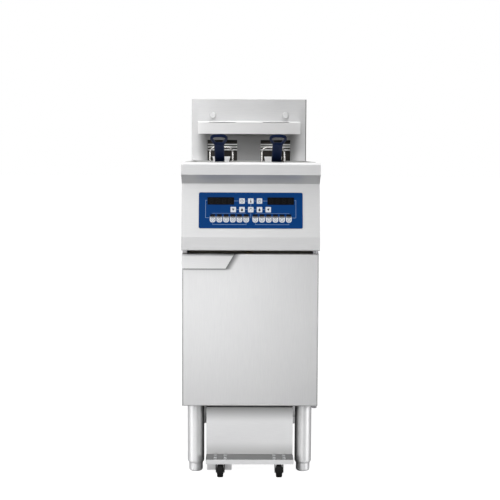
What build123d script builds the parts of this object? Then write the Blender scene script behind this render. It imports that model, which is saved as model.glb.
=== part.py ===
from build123d import *
import math
import os

# Electric floor fryer in millimetres. The floor is z = 0, the front looks along -Y,
# and the origin lies under the middle of the cabinet.

# Overall size
WIDTH = 396.0             # across the ledge, the cabinet and the door
DEPTH = 765.0             # from the front of the ledge to the back panel
LEDGE_TOP = 917.0         # work surface above the floor
RISER_HEIGHT = 211.0      # riser above the work surface
CABINET_FLOOR = 205.0     # underside of the cabinet above the floor

# Sheet, folds and clearances
SHEET = 1.5
BEND = 3.0                # outer radius of a fold
FOLD = 14.0               # width of a side panel's inner folds
GAP = 0.3                 # between pieces that move past each other
FIT = 0.08                # radial play of a pin in its hole

# Top deck
LEDGE_HEIGHT = 34.0
LEDGE_NOSE = 7.0          # radius of the ledge's front edge

# Control fascia, from the ledge down
NECK_HEIGHT = 26.0
PANEL_SETBACK = 34.0      # how far the panel's top edge lies behind the ledge front
PANEL_HEIGHT = 152.0
APRON_HEIGHT = 38.0
JAMB = 66.0               # front edge of the side panels behind the ledge front

# Keypad on the panel
OVERLAY_WIDTH = 297.0
OVERLAY_HEIGHT = 104.0
OVERLAY_CORNER = 4.3
OVERLAY_THICK = 1.5
OVERLAY_LAP = 6.0         # overlay beyond the window in the fascia
DISPLAY_WIDTH = 76.0
DISPLAY_HEIGHT = 21.4
DISPLAY_PITCH = 171.5
TOP_ROW = 27.3            # height of a key row above the panel's middle
MIDDLE_ROW = 2.3
SHIELD_ROW = -26.4
SQUARE_KEY = 15.2
SQUARE_PITCH = 25.0
SHIELD_WIDTH = 16.0
SHIELD_HEIGHT = 16.5
SHIELD_PITCH = 19.15
SHIELD_START = 13.0       # first shield key beside the panel's middle
SHIELD_ROUND = 6.5
KEY_CORNER = 1.2
KEY_PROUD = 0.8
KEY_TRAVEL = 0.5
KEY_FLANGE = 1.0          # thickness of the flange behind the overlay
KEY_FLANGE_LAP = 1.2
KEY_STEM = 2.5            # radius
KEY_STEM_LENGTH = 1.1
BOARD_THICK = 1.6
BOARD_POST = 3.0          # radius of the board's posts

# Riser and basket hanger
RISER_DEPTH = 75.0
RISER_INSET = 1.0         # riser side inside the cabinet side
OPENING_WIDTH = 102.0
OPENING_HEIGHT = 72.0
OPENING_PITCH = 183.0
HANGER_WIDTH = 348.0
HANGER_DROP = 33.0        # hanger top below the riser top
HANGER_FLANGE = 44.0
HANGER_REACH = 50.0
HANGER_LIP = 42.0
SLOT_LENGTH = 90.0
SLOT_DEPTH = 11.0         # hook slot across the hanger's shelf
SLOT_DROP = 4.5           # hook slot down the hanger's lip
SLOT_PITCH = 182.0
SCREW_PITCH = 250.0
SCREW_DROP = 21.0         # thumbscrew below the hanger's top
SCREW_HEAD = 10.0         # radius
SCREW_HEAD_LENGTH = 12.0
SCREW_SHANK = 3.0         # radius
SCREW_REACH = 8.0         # shank behind the flange

# Fry tank
TANK_WALL = 2.0
TANK_SIDE_GAP = 16.5      # tank to side panel
TANK_FRONT = 165.0        # inner front wall behind the ledge front
TANK_REAR_GAP = 55.0      # inner rear wall in front of the riser
TANK_DEPTH = 317.0        # at its front, under the work surface
TANK_FALL = 40.0          # fall of the bottom towards the front
TANK_ROUND = 20.0
TANK_RIM = 12.0

# Heating elements
ELEMENT_TUBE = 4.25       # radius
ELEMENT_DROP = 179.0      # tube axis under the work surface
ELEMENT_FRONT_GAP = 40.0  # loop in front, to the tank's front wall
ELEMENT_REAR_GAP = 23.0   # rising legs to the tank's rear wall
ELEMENT_RISE = 11.0       # tube axis above the work surface where it goes into the riser
ELEMENT_BEND = 10.0
LEG_SPREADS = (22.0, 8.0)   # outer and inner legs beside the element's middle
LOOP_SPREADS = (62.0, 25.0)  # the same loops in the tank
LOOP_SPLAY = 24.0         # length over which the legs spread
CLAMP_LENGTH = 136.0
CLAMP_WIDTH = 16.0
CLAMP_THICK = 4.5
CLAMP_SINK = 0.9          # clamp bars are welded this far into the tubes
CARRIER_TOP = 59.0        # width of the plate that ties the rising legs
CARRIER_FOOT = 38.0
CARRIER_RISE = 17.0       # above the work surface
CARRIER_LENGTH = 120.0
CARRIER_THICK = 2.5
ROD_RADIUS = 2.5
ROD_HEIGHTS = (38.5, 48.1, 56.7)   # stay rods above the work surface
EAR_THICK = 2.0
EAR_DEPTH = 24.0
EAR_SPAN = (3.0, 66.0)    # ears and terminal plate above the work surface
ROD_SETBACK = 13.0        # rods behind the riser's front sheet

# Temperature probe
PROBE_RADIUS = 3.0
PROBE_LENGTH = 200.0
PROBE_STANDOFF = 7.0
PROBE_DROP = 12.0         # probe top under the work surface
CLIP_HEIGHT = 12.0

# Drain
DRAIN_SETBACK = 122.0     # pipe axis behind the ledge front
DRAIN_PIPE = 17.0         # radius
DRAIN_RISE = 34.0         # outlet axis above the tank's front bottom edge
VALVE_DROP = 112.0        # valve middle under the outlet
VALVE_RADIUS = 26.0
VALVE_LENGTH = 64.0
SPOUT_DROP = 5.0          # spout below the cabinet floor
STEM_RADIUS = 5.0
STEM_REACH = 20.0
LEVER_LENGTH = 118.0
LEVER_WIDTH = 20.0
LEVER_THICK = 4.0
LEVER_HUB = 12.0          # radius
LEVER_GRIP = 62.0         # length of the dipped grip
LEVER_GRIP_SKIN = 2.0

# Contactor box on the back panel
BOX_WIDTH = 300.0
BOX_HEIGHT = 260.0
BOX_DEPTH = 96.0
BOX_RISE = 360.0          # above the cabinet floor
BOX_LID_LAP = 4.0

# Back panel
INLET_RADIUS = 17.5
INLET_RISE = 70.0         # power inlet above the cabinet floor
INLET_OFFSET = 120.0
VENT_WIDTH = 70.0
VENT_HEIGHT = 6.0
VENT_PITCH = 18.0
VENT_ROWS = 6
VENT_RISE = 120.0
VENT_OFFSET = 75.0

# Base frame
BASE_HEIGHT = 25.0

# Door
DOOR_GAP = 12.0           # under the fascia
DOOR_LIFT = 3.0           # above the cabinet floor
DOOR_SETBACK = 38.0       # face behind the ledge front
DOOR_THICK = 22.0
LINER_DEPTH = 5.0
LINER_PANEL_INSET = 40.0
LINER_PANEL_DEPTH = 3.0
PIN_RADIUS = 4.0
PIN_INSET = 10.0          # pin axis from the door's edge
PIN_LENGTH = 20.0         # inside the door
HINGE_PLATE = 4.0
HINGE_NOSE = 8.0          # radius
HINGE_TAIL = 7.0          # lower plate behind the jamb

# Door handle
HANDLE_LENGTH = 153.0
HANDLE_DROP = 44.0
HANDLE_STANDOFF = 17.0
HANDLE_SLANT = 26.0
HANDLE_FOLD = 5.5         # inner radius
HANDLE_CORNER = 9.0
HANDLE_FLANGE = 12.0

# Legs and feet
LEG_RADIUS = 25.0
LEG_INSET_X = 38.5
LEG_FRONT = 100.0         # front leg axis behind the ledge front
LEG_REAR = 75.0           # rear leg axis before the back panel
LEG_WALL = 2.0
LEG_INSERT = 24.0         # length of the solid end that holds the foot
LEG_TAPER = 6.0
LEG_TIP = 21.5            # radius
LEG_PLATE = 48.0
LEG_PLATE_THICK = 4.0
FOOT_HEIGHT = 25.0
FOOT_RADIUS = 20.5
FOOT_ROUND = 7.0
FOOT_STEM = 12.0          # radius
FOOT_STEM_LENGTH = 36.0

# Baskets
BASKET_TANK_GAP = 15.0    # to the tank's side walls, before the shift
BASKET_SHIFT = -7.0       # both baskets lie a little to the left
BASKET_SIDE_GAP = 5.0     # half the space between the baskets
BASKET_FRONT_GAP = 20.0
BASKET_REAR_GAP = 120.0
BASKET_DROP = 14.0        # rim under the work surface
BASKET_WALL = 3.0
BASKET_TAPER = 6.0        # how far the floor is drawn in
BASKET_RIM = 4.0          # radius
BASKET_ROUND = 10.0       # radius of the rim's corners, at the middle of the rod
HOOK_WIDTH = 80.0
HOOK_RISE = 60.0          # above the basket's rim
HOOK_WIRE = 2.75          # radius
HOOK_PLATE_TOP = 59.0
HOOK_PLATE_FOOT = 44.0
HOOK_PLATE_RISE = 30.0
HOOK_PLATE_THICK = 2.5

# Basket grips
GRIP_ANGLE = 23.5         # degrees above level
GRIP_WIDTH = 29.0
GRIP_THICK = 9.0
GRIP_STRAP = 92.0
GRIP_LOOP = 62.0
GRIP_LOOP_WIDTH = 50.0
GRIP_SHOULDER = 26.0      # widest place of the loop before its end
GRIP_SHOULDER_ROUND = 12.0
GRIP_CROWN = 20.0         # radius of the loop's end corners
GRIP_TUBE = 7.0
GRIP_ROUND = 3.0
GRIP_END = 27.0           # loop end behind the ledge front
GRIP_TOP = 78.0           # loop end above the work surface
NECK_WIRE = 3.5           # radius of the two wires between basket and grip
NECK_SPREAD = 16.0
NECK_SOCKET = 30.0        # wire inside the grip

# Oil cart
CART_FRONT = 14.0         # chassis front behind the ledge front
CART_REAR = 65.0          # chassis rear before the back panel
CART_LEG_GAP = 6.5        # chassis side to leg
CART_PLATE = 2.0
CART_TOP = 54.0           # top of the chassis plate above the floor
CART_LIP = 13.0
PAN_SETBACK = 65.0        # pan front behind the chassis front
PAN_REAR = 40.0           # pan rear before the rear axle
PAN_GAP = 10.0            # pan rim under the cabinet
PAN_ROUND = 8.0
OUTLET_WIDTH = 73.0
OUTLET_DEPTH = 36.0
OUTLET_SETBACK = 60.0     # outlet block behind the chassis front
OUTLET_FLOOR = 7.0
OUTLET_NECK = 12.0        # radius

# Casters
CASTER_INSET = 42.0       # wheel track inside the chassis side
CASTER_SETBACK = 24.5     # front swivel axis behind the chassis front
CASTER_REAR = 60.0        # rear axle before the chassis rear
CASTER_TRAIL = 14.0
WHEEL_RADIUS = 19.0
WHEEL_WIDTH = 18.0
WHEEL_ROUND = 4.0
HUB_RADIUS = 9.0
HUB_PROUD = 0.8
AXLE_RADIUS = 3.0
FORK_THICK = 3.0
FORK_WIDTH = 22.0
CROWN_RADIUS = 16.0
CROWN_THICK = 3.0
KING_PIN = 5.0            # radius
CASTER_PLATE = 42.0
CASTER_PLATE_THICK = 2.5
BOLT_PITCH = 29.0
BOLT_RADIUS = 3.0
BOLT_HEAD = 5.0           # radius
BOLT_HEAD_HEIGHT = 4.0

# Levels and limits that follow from the sizes above
HALF = WIDTH / 2
INNER = HALF - SHEET
LEDGE_UNDER = LEDGE_TOP - LEDGE_HEIGHT
PANEL_TOP = LEDGE_UNDER - NECK_HEIGHT
PANEL_BOTTOM = PANEL_TOP - PANEL_HEIGHT
FASCIA_BOTTOM = PANEL_BOTTOM - APRON_HEIGHT
REAR_FACE = DEPTH - SHEET
RISER_FRONT = DEPTH - RISER_DEPTH
RISER_TOP = LEDGE_TOP + RISER_HEIGHT
RISER_HALF = HALF - RISER_INSET
HANGER_TOP = RISER_TOP - HANGER_DROP
HANGER_SHELF = HANGER_TOP - HANGER_FLANGE
HANGER_FRONT = RISER_FRONT - HANGER_REACH
TANK_HALF = INNER - TANK_SIDE_GAP
TANK_OUTER_FRONT = TANK_FRONT - TANK_WALL
TANK_REAR = RISER_FRONT - TANK_REAR_GAP
TANK_OUTER_REAR = TANK_REAR + TANK_WALL
TANK_BOTTOM = LEDGE_TOP - TANK_DEPTH
ELEMENT_LEVEL = LEDGE_TOP - ELEMENT_DROP
CLAMP_UNDER = ELEMENT_LEVEL + ELEMENT_TUBE - CLAMP_SINK
BASKET_FLOOR = CLAMP_UNDER + CLAMP_THICK + GAP
BASKET_TOP = LEDGE_TOP - BASKET_DROP
BASKET_PITCH = TANK_HALF - BASKET_TANK_GAP + BASKET_SIDE_GAP
BASKET_HALF = BASKET_PITCH / 2 - BASKET_SIDE_GAP
BASKET_FRONT = TANK_FRONT + BASKET_FRONT_GAP
BASKET_REAR = TANK_REAR - BASKET_REAR_GAP
DOOR_TOP = FASCIA_BOTTOM - DOOR_GAP
DOOR_BOTTOM = CABINET_FLOOR + DOOR_LIFT
DOOR_BACK = DOOR_SETBACK + DOOR_THICK
PIN_X = HALF - PIN_INSET
PIN_SETBACK = DOOR_SETBACK + DOOR_THICK / 2
DRAIN_LEVEL = TANK_BOTTOM + DRAIN_RISE
VALVE_LEVEL = DRAIN_LEVEL - VALVE_DROP
LEVER_SETBACK = DRAIN_SETBACK - VALVE_RADIUS - STEM_REACH
LEG_X = HALF - LEG_INSET_X
CART_HALF = LEG_X - LEG_RADIUS - CART_LEG_GAP
CART_BACK = DEPTH - CART_REAR
CART_UNDER = CART_TOP - CART_PLATE
PAN_FRONT = CART_FRONT + PAN_SETBACK
PAN_TOP = CABINET_FLOOR - PAN_GAP
CASTER_X = CART_HALF - CASTER_INSET
SWIVEL_SETBACK = CART_FRONT + CASTER_SETBACK
REAR_AXLE = CART_BACK - CASTER_REAR
PAN_BACK = REAR_AXLE - PAN_REAR
LEFT = -1
RIGHT = 1
SIDES = {"left": LEFT, "right": RIGHT}


def back(distance):
    """The y of what lies a distance behind the front of the ledge."""
    return distance - DEPTH / 2


def depth(near, far):
    """A pair of y limits, given as distances behind the front of the ledge."""
    return back(near), back(far)


def across(half, middle=0.0):
    """A pair of limits to either side of a middle."""
    return middle - half, middle + half


def block(x_limits, y_limits, z_limits):
    """A box between three pairs of limits."""
    limits = (x_limits, y_limits, z_limits)
    centre = [(low + high) / 2 for low, high in limits]
    size = [high - low for low, high in limits]
    return Pos(*centre) * Box(*size)


def upright(radius, x, setback, z_limits):
    """A vertical cylinder."""
    low, high = z_limits
    return Pos(x, back(setback), (low + high) / 2) * Cylinder(radius, high - low)


def crossbar(radius, x_limits, setback, level):
    """A cylinder along X."""
    low, high = x_limits
    return Pos((low + high) / 2, back(setback), level) * Rot(0, 90, 0) * Cylinder(radius, high - low)


def spindle(radius, x, near_far, level):
    """A cylinder along Y."""
    near, far = near_far
    return Pos(x, back((near + far) / 2), level) * Rot(90, 0, 0) * Cylinder(radius, far - near)


def side_solid(points, x_limits):
    """A solid from an outline of (distance behind the ledge front, height) points."""
    low, high = x_limits
    outline = Polygon(*[(back(setback), level) for setback, level in points], align=None)
    return extrude(Plane.YZ.offset(low) * outline, amount=high - low, dir=(1, 0, 0))


def front_solid(outline, near, far):
    """A solid from a sketch of the front view, between two distances behind the ledge front."""
    plane = Plane(origin=(0, back(near), 0), x_dir=(1, 0, 0), z_dir=(0, -1, 0))
    return extrude(plane * outline, amount=far - near, dir=(0, 1, 0))


def bent_sheet(points, radii, x_limits):
    """Sheet folded along a side view path, with its thickness to the left of the path."""
    low, high = x_limits
    path = FilletPolyline(*[(back(setback), level) for setback, level in points], radius=radii)
    outline = make_face(offset(path, amount=SHEET, side=Side.LEFT))
    return extrude(Plane.YZ.offset(low) * outline, amount=high - low, dir=(1, 0, 0))


def hollow(solid, openings, wall=SHEET):
    """Turn a solid into a folded pan of sheet, open at some of its faces."""
    return offset(solid, amount=-wall, openings=openings)


def end_face(solid, axis, last=True):
    """The face of a solid that lies furthest, or least far, along an axis."""
    return solid.faces().sort_by(axis)[-1 if last else 0]


def long_edges(solid, setback, level):
    """The edges along X that lie at one place of the side view."""
    spot = Vector(0, back(setback), level)
    return [
        edge for edge in solid.edges().filter_by(Axis.X)
        if (Vector(0, edge.center().Y, edge.center().Z) - spot).length < SHEET / 10
    ]


def mirrored(solid):
    """The same piece on the other side of the cabinet."""
    return mirror(solid, about=Plane.YZ)


# Cabinet

def side_panel():
    """Right side wall, with folds for the door jamb, the back panel and the deck."""
    wall = block((HALF - FOLD, HALF), depth(JAMB, REAR_FACE), (CABINET_FLOOR, LEDGE_UNDER))
    return hollow(wall, [end_face(wall, Axis.X, last=False), end_face(wall, Axis.Z, last=False)])


def rear_panel():
    """Back sheet of the cabinet and the riser, with vents and the power inlet hole."""
    sheet = block(across(HALF), depth(REAR_FACE, DEPTH), (CABINET_FLOOR, LEDGE_TOP))
    sheet += block(across(RISER_HALF), depth(REAR_FACE, DEPTH), (LEDGE_TOP, RISER_TOP))
    sheet -= spindle(INLET_RADIUS, INLET_OFFSET, (REAR_FACE - SHEET, DEPTH + SHEET), inlet_level())
    for row in range(VENT_ROWS):
        level = CABINET_FLOOR + VENT_RISE + row * VENT_PITCH
        for side in SIDES.values():
            sheet -= block(
                across(VENT_WIDTH / 2, side * VENT_OFFSET),
                depth(REAR_FACE - SHEET, DEPTH + SHEET),
                across(VENT_HEIGHT / 2, level),
            )
    return sheet


def inlet_level():
    """Height of the power inlet's axis."""
    return CABINET_FLOOR + INLET_RISE


def base_frame():
    """Floor pan of the cabinet with a hole for the drain spout."""
    rim = CABINET_FLOOR + BASE_HEIGHT
    pan = block(across(INNER), depth(JAMB + SHEET, REAR_FACE - SHEET), (CABINET_FLOOR, rim))
    pan = hollow(pan, [end_face(pan, Axis.Z)])
    return pan - upright(DRAIN_PIPE + GAP, 0, DRAIN_SETBACK, (CABINET_FLOOR - SHEET, rim))


def top_deck():
    """Pressed top with a rounded front ledge, skirts all round and the tank's cut-out."""
    deck = block(across(HALF), depth(0, REAR_FACE), (LEDGE_UNDER, LEDGE_TOP))
    deck = fillet(long_edges(deck, 0, LEDGE_TOP), LEDGE_NOSE)
    deck = hollow(deck, [end_face(deck, Axis.Z, last=False)])
    return deck - block(
        across(TANK_HALF + TANK_WALL + GAP),
        depth(TANK_OUTER_FRONT - GAP, TANK_OUTER_REAR + GAP),
        (LEDGE_UNDER, LEDGE_TOP + SHEET),
    )


def riser_shell():
    """Upstand behind the tank with the two element openings."""
    riser = block(across(RISER_HALF), depth(RISER_FRONT, REAR_FACE), (LEDGE_TOP, RISER_TOP))
    riser = hollow(riser, [end_face(riser, Axis.Y), end_face(riser, Axis.Z, last=False)])
    for side in SIDES.values():
        riser -= block(
            across(OPENING_WIDTH / 2, side * OPENING_PITCH / 2),
            depth(RISER_FRONT - SHEET, RISER_FRONT + 2 * SHEET),
            (LEDGE_TOP - SHEET, LEDGE_TOP + OPENING_HEIGHT),
        )
        riser -= screw_hole(side)
    return riser


def screw_hole(side):
    """The hole that a thumbscrew goes through, in the hanger and in the riser."""
    return spindle(
        SCREW_SHANK, side * SCREW_PITCH / 2,
        (RISER_FRONT - 2 * SHEET, RISER_FRONT + 2 * SHEET), HANGER_TOP - SCREW_DROP,
    )


def basket_hanger():
    """Folded shelf on the riser, with a slot for the hook of each basket."""
    hanger = bent_sheet(
        [
            (HANGER_FRONT + SHEET, HANGER_SHELF - HANGER_LIP),
            (HANGER_FRONT + SHEET, HANGER_SHELF - SHEET),
            (RISER_FRONT, HANGER_SHELF - SHEET),
            (RISER_FRONT, HANGER_TOP),
        ],
        [BEND - SHEET, BEND],
        across(HANGER_WIDTH / 2),
    )
    for side in SIDES.values():
        hanger -= block(
            across(SLOT_LENGTH / 2, side * SLOT_PITCH / 2),
            depth(HANGER_FRONT - SHEET, HANGER_FRONT + SLOT_DEPTH),
            (HANGER_SHELF - SLOT_DROP, HANGER_SHELF - SHEET - GAP),
        )
        hanger -= block(
            across(SLOT_LENGTH / 2, side * SLOT_PITCH / 2),
            depth(HANGER_FRONT + BEND, HANGER_FRONT + SLOT_DEPTH),
            (HANGER_SHELF - SLOT_DROP, HANGER_SHELF + SHEET),
        )
        hanger -= screw_hole(side)
    return hanger


def hanger_thumbscrews():
    """Two screws with a round head that hold the hanger."""
    face = RISER_FRONT - SHEET
    level = HANGER_TOP - SCREW_DROP
    screws = []
    for side in SIDES.values():
        x = side * SCREW_PITCH / 2
        head = spindle(SCREW_HEAD, x, (face - SCREW_HEAD_LENGTH, face), level)
        head = chamfer(end_face(head, Axis.Y, last=False).edges(), SHEET)
        screws.append(head + spindle(SCREW_SHANK, x, (face - SHEET, face + SCREW_REACH), level))
    return screws


# Control panel

def control_fascia():
    """Folded front: neck under the ledge, leaning panel and apron, with a window for the keypad."""
    fascia = side_solid(
        [
            (0, LEDGE_UNDER),
            (PANEL_SETBACK, PANEL_TOP),
            (0, PANEL_BOTTOM),
            (0, FASCIA_BOTTOM),
            (JAMB, FASCIA_BOTTOM),
            (JAMB, LEDGE_UNDER),
        ],
        across(HALF),
    )
    for setback, level in ((PANEL_SETBACK, PANEL_TOP), (0, PANEL_BOTTOM), (0, FASCIA_BOTTOM)):
        fascia = fillet(long_edges(fascia, setback, level), BEND)
    fascia = hollow(fascia, [end_face(fascia, Axis.Y), end_face(fascia, Axis.Z)])
    window = RectangleRounded(
        OVERLAY_WIDTH - 2 * OVERLAY_LAP, OVERLAY_HEIGHT - 2 * OVERLAY_LAP, OVERLAY_CORNER
    )
    return fascia - on_panel(window, -2 * SHEET, SHEET)


def panel_plane():
    """The front of the leaning panel: x to the right, y up the panel, z outwards."""
    slope = math.hypot(PANEL_SETBACK, PANEL_HEIGHT)
    return Plane(
        origin=(0, back(PANEL_SETBACK / 2), (PANEL_TOP + PANEL_BOTTOM) / 2),
        x_dir=(1, 0, 0),
        z_dir=(0, -PANEL_HEIGHT / slope, PANEL_SETBACK / slope),
    )


def on_panel(outline, low, high):
    """A sketch on the panel made solid between two heights above the panel."""
    return panel_plane() * extrude(Pos(0, 0, low) * outline, amount=high - low, dir=(0, 0, 1))


def square_outline(grow=0.0):
    """Outline of a square key, grown all round."""
    size = SQUARE_KEY + 2 * grow
    return RectangleRounded(size, size, KEY_CORNER + grow)


def shield_outline(grow=0.0):
    """Outline of a key with a flat top and a round bottom, grown all round."""
    shield = Rectangle(SHIELD_WIDTH + 2 * grow, SHIELD_HEIGHT + 2 * grow)
    return fillet(shield.vertices().sort_by(Axis.Y)[:2], SHIELD_ROUND + grow)


def key_places():
    """Name, outline maker and place on the panel of every key."""
    places = []
    for index in range(3):
        places.append((f"key_top_{index + 1}", square_outline, (index - 1) * SQUARE_PITCH, TOP_ROW))
    for index in range(5):
        places.append((f"key_middle_{index + 1}", square_outline, (index - 2) * SQUARE_PITCH, MIDDLE_ROW))
    for index in range(6):
        x = SHIELD_START + (5 - index) * SHIELD_PITCH
        places.append((f"key_left_{index + 1}", shield_outline, -x, SHIELD_ROW))
    for index in range(6):
        x = SHIELD_START + index * SHIELD_PITCH
        places.append((f"key_right_{index + 1}", shield_outline, x, SHIELD_ROW))
    return places


def key(outline, x, y):
    """Key cap through the overlay, with a flange that keeps it in and a stem towards the board."""
    flange_back = -GAP - KEY_FLANGE
    cap = on_panel(Pos(x, y) * outline(), -GAP, OVERLAY_THICK + KEY_PROUD)
    flange = on_panel(Pos(x, y) * outline(KEY_FLANGE_LAP), flange_back, -GAP)
    stem = on_panel(Pos(x, y) * Circle(KEY_STEM), flange_back - KEY_STEM_LENGTH, flange_back)
    return cap + flange + stem


def keypad_overlay():
    """Front plate of the keypad with a hole for every key and two display windows."""
    outline = RectangleRounded(OVERLAY_WIDTH, OVERLAY_HEIGHT, OVERLAY_CORNER)
    for _, shape, x, y in key_places():
        outline -= Pos(x, y) * shape(GAP)
    for side in SIDES.values():
        window = Rectangle(DISPLAY_WIDTH + 2 * GAP, DISPLAY_HEIGHT + 2 * GAP)
        outline -= Pos(side * DISPLAY_PITCH / 2, TOP_ROW) * window
    return on_panel(outline, 0, OVERLAY_THICK)


def display_board():
    """Circuit board behind the keypad, on posts, with two displays that reach into the overlay."""
    front = -GAP - KEY_FLANGE - KEY_STEM_LENGTH - KEY_TRAVEL - GAP
    post_x = OVERLAY_WIDTH / 2 - OVERLAY_LAP + 2 * BOARD_POST
    post_y = OVERLAY_HEIGHT / 2 - 2 * OVERLAY_LAP
    board = on_panel(Rectangle(2 * (post_x + 2 * BOARD_POST), OVERLAY_HEIGHT), front - BOARD_THICK, front)
    for x in (-post_x, post_x):
        for y in (-post_y, post_y):
            board += on_panel(Pos(x, y) * Circle(BOARD_POST), front, -SHEET)
    for side in SIDES.values():
        display = Pos(side * DISPLAY_PITCH / 2, TOP_ROW) * Rectangle(DISPLAY_WIDTH, DISPLAY_HEIGHT)
        board += on_panel(display, front, OVERLAY_THICK - GAP)
    return board


# Tank, heat and drain

def fry_tank():
    """Deep tank that falls to the front, with a rim on the deck and an outlet in its front wall."""
    outer = TANK_HALF + TANK_WALL
    floor = TANK_BOTTOM - TANK_WALL
    tank = side_solid(
        [
            (TANK_OUTER_FRONT, LEDGE_TOP),
            (TANK_OUTER_FRONT, floor),
            (TANK_OUTER_REAR, floor + TANK_FALL),
            (TANK_OUTER_REAR, LEDGE_TOP),
        ],
        across(outer),
    )
    low_edges = long_edges(tank, TANK_OUTER_FRONT, floor)
    low_edges += long_edges(tank, TANK_OUTER_REAR, floor + TANK_FALL)
    tank = fillet(low_edges, TANK_ROUND)
    tank = hollow(tank, [end_face(tank, Axis.Z)], TANK_WALL)
    rim = block(
        across(outer + TANK_RIM),
        depth(TANK_OUTER_FRONT - TANK_RIM, TANK_OUTER_REAR + TANK_RIM),
        (LEDGE_TOP, LEDGE_TOP + SHEET),
    )
    rim -= block(across(TANK_HALF), depth(TANK_FRONT, TANK_REAR), (LEDGE_TOP, LEDGE_TOP + SHEET))
    outlet = spindle(
        DRAIN_PIPE - TANK_WALL, 0, (TANK_OUTER_FRONT - TANK_WALL, TANK_FRONT + TANK_WALL), DRAIN_LEVEL
    )
    return tank + rim - outlet


def element(side):
    """Two nested heating loops on clamp bars and a carrier plate, and the stay rods in the riser."""
    middle = side * OPENING_PITCH / 2
    legs = TANK_REAR - ELEMENT_REAR_GAP
    end = RISER_FRONT + SHEET + EAR_DEPTH - EAR_THICK
    front = TANK_FRONT + ELEMENT_FRONT_GAP
    high = LEDGE_TOP + ELEMENT_RISE
    heater = None
    for order, (leg, loop) in enumerate(zip(LEG_SPREADS, LOOP_SPREADS)):
        near = front + order * (LOOP_SPREADS[0] - LOOP_SPREADS[1])
        half = [
            (leg, end, high),
            (leg, legs, high),
            (leg, legs, ELEMENT_LEVEL),
            (loop, legs - LOOP_SPLAY, ELEMENT_LEVEL),
            (loop, near, ELEMENT_LEVEL),
        ]
        route = half + [(-x, setback, level) for x, setback, level in reversed(half)]
        points = [(middle + x, back(setback), level) for x, setback, level in route]
        path = FilletPolyline(*points, radius=ELEMENT_BEND)
        tube = sweep(Plane(origin=path @ 0, z_dir=path % 0) * Circle(ELEMENT_TUBE), path=path)
        heater = tube if heater is None else heater + tube
    clamp_near = front + LOOP_SPREADS[0]
    for setback in (clamp_near, legs - LOOP_SPLAY - CLAMP_WIDTH):
        heater += block(
            across(CLAMP_LENGTH / 2, middle),
            depth(setback - CLAMP_WIDTH / 2, setback + CLAMP_WIDTH / 2),
            (CLAMP_UNDER, CLAMP_UNDER + CLAMP_THICK),
        )
    top = LEDGE_TOP + CARRIER_RISE
    carrier = Polygon(
        (middle - CARRIER_TOP / 2, top),
        (middle + CARRIER_TOP / 2, top),
        (middle + CARRIER_FOOT / 2, top - CARRIER_LENGTH),
        (middle - CARRIER_FOOT / 2, top - CARRIER_LENGTH),
        align=None,
    )
    face = legs - ELEMENT_TUBE
    heater += front_solid(carrier, face - CARRIER_THICK / 2, face + CARRIER_THICK / 2)
    return [heater, element_stay(middle)]


def element_stay(middle):
    """Two ears behind a riser opening, with three rods and the plate that holds the element's ends."""
    sheet_back = RISER_FRONT + SHEET
    inside = OPENING_WIDTH / 2
    low, high = EAR_SPAN
    levels = (LEDGE_TOP + low, LEDGE_TOP + high)
    far = sheet_back + EAR_DEPTH
    stay = block(across(inside + EAR_THICK, middle), depth(far - EAR_THICK, far), levels)
    for side in SIDES.values():
        ear = sorted((middle + side * inside, middle + side * (inside + EAR_THICK)))
        stay += block(ear, depth(sheet_back, far), levels)
    for rise in ROD_HEIGHTS:
        stay += crossbar(ROD_RADIUS, across(inside, middle), sheet_back + ROD_SETBACK, LEDGE_TOP + rise)
    return stay


def temperature_probe():
    """Sensor rod clipped to the tank's rear wall."""
    setback = TANK_REAR - PROBE_STANDOFF
    top = LEDGE_TOP - PROBE_DROP
    probe = upright(PROBE_RADIUS, 0, setback, (top - PROBE_LENGTH, top))
    for level in (top - CLIP_HEIGHT, top - PROBE_LENGTH / 2):
        probe += block(across(2 * PROBE_RADIUS), depth(setback, TANK_REAR), across(CLIP_HEIGHT / 2, level))
    return probe


def contactor_box():
    """Electrical box on the back panel with an overlapping lid."""
    low = CABINET_FLOOR + BOX_RISE
    body_back = REAR_FACE
    lid_back = body_back - BOX_DEPTH + 2 * BOX_LID_LAP
    box = block(across(BOX_WIDTH / 2), depth(lid_back, body_back), (low, low + BOX_HEIGHT))
    lid = block(
        across(BOX_WIDTH / 2 + BOX_LID_LAP),
        depth(body_back - BOX_DEPTH, lid_back),
        (low - BOX_LID_LAP, low + BOX_HEIGHT + BOX_LID_LAP),
    )
    box += lid
    return hollow(box, [end_face(box, Axis.Y)])


def drain_valve():
    """Outlet pipe, ball valve with its stem and the spout through the base frame."""
    pipe = spindle(DRAIN_PIPE, 0, (DRAIN_SETBACK, TANK_OUTER_FRONT), DRAIN_LEVEL)
    pipe += Pos(0, back(DRAIN_SETBACK), DRAIN_LEVEL) * Sphere(DRAIN_PIPE)
    pipe += upright(DRAIN_PIPE, 0, DRAIN_SETBACK, (CABINET_FLOOR - SPOUT_DROP, DRAIN_LEVEL))
    body = upright(VALVE_RADIUS, 0, DRAIN_SETBACK, across(VALVE_LENGTH / 2, VALVE_LEVEL))
    body = chamfer(body.edges().filter_by(GeomType.CIRCLE), VALVE_RADIUS - DRAIN_PIPE - SHEET)
    stem = spindle(STEM_RADIUS, 0, (LEVER_SETBACK - LEVER_THICK, DRAIN_SETBACK), VALVE_LEVEL)
    bore = DRAIN_PIPE - TANK_WALL
    ball = VALVE_LENGTH / 4
    way_in = spindle(bore, 0, (DRAIN_SETBACK, TANK_OUTER_FRONT), DRAIN_LEVEL)
    way_in += upright(bore, 0, DRAIN_SETBACK, (VALVE_LEVEL + ball, DRAIN_LEVEL))
    way_out = upright(bore, 0, DRAIN_SETBACK, (CABINET_FLOOR - SPOUT_DROP, VALVE_LEVEL - ball))
    return pipe + body + stem - way_in - way_out


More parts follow.
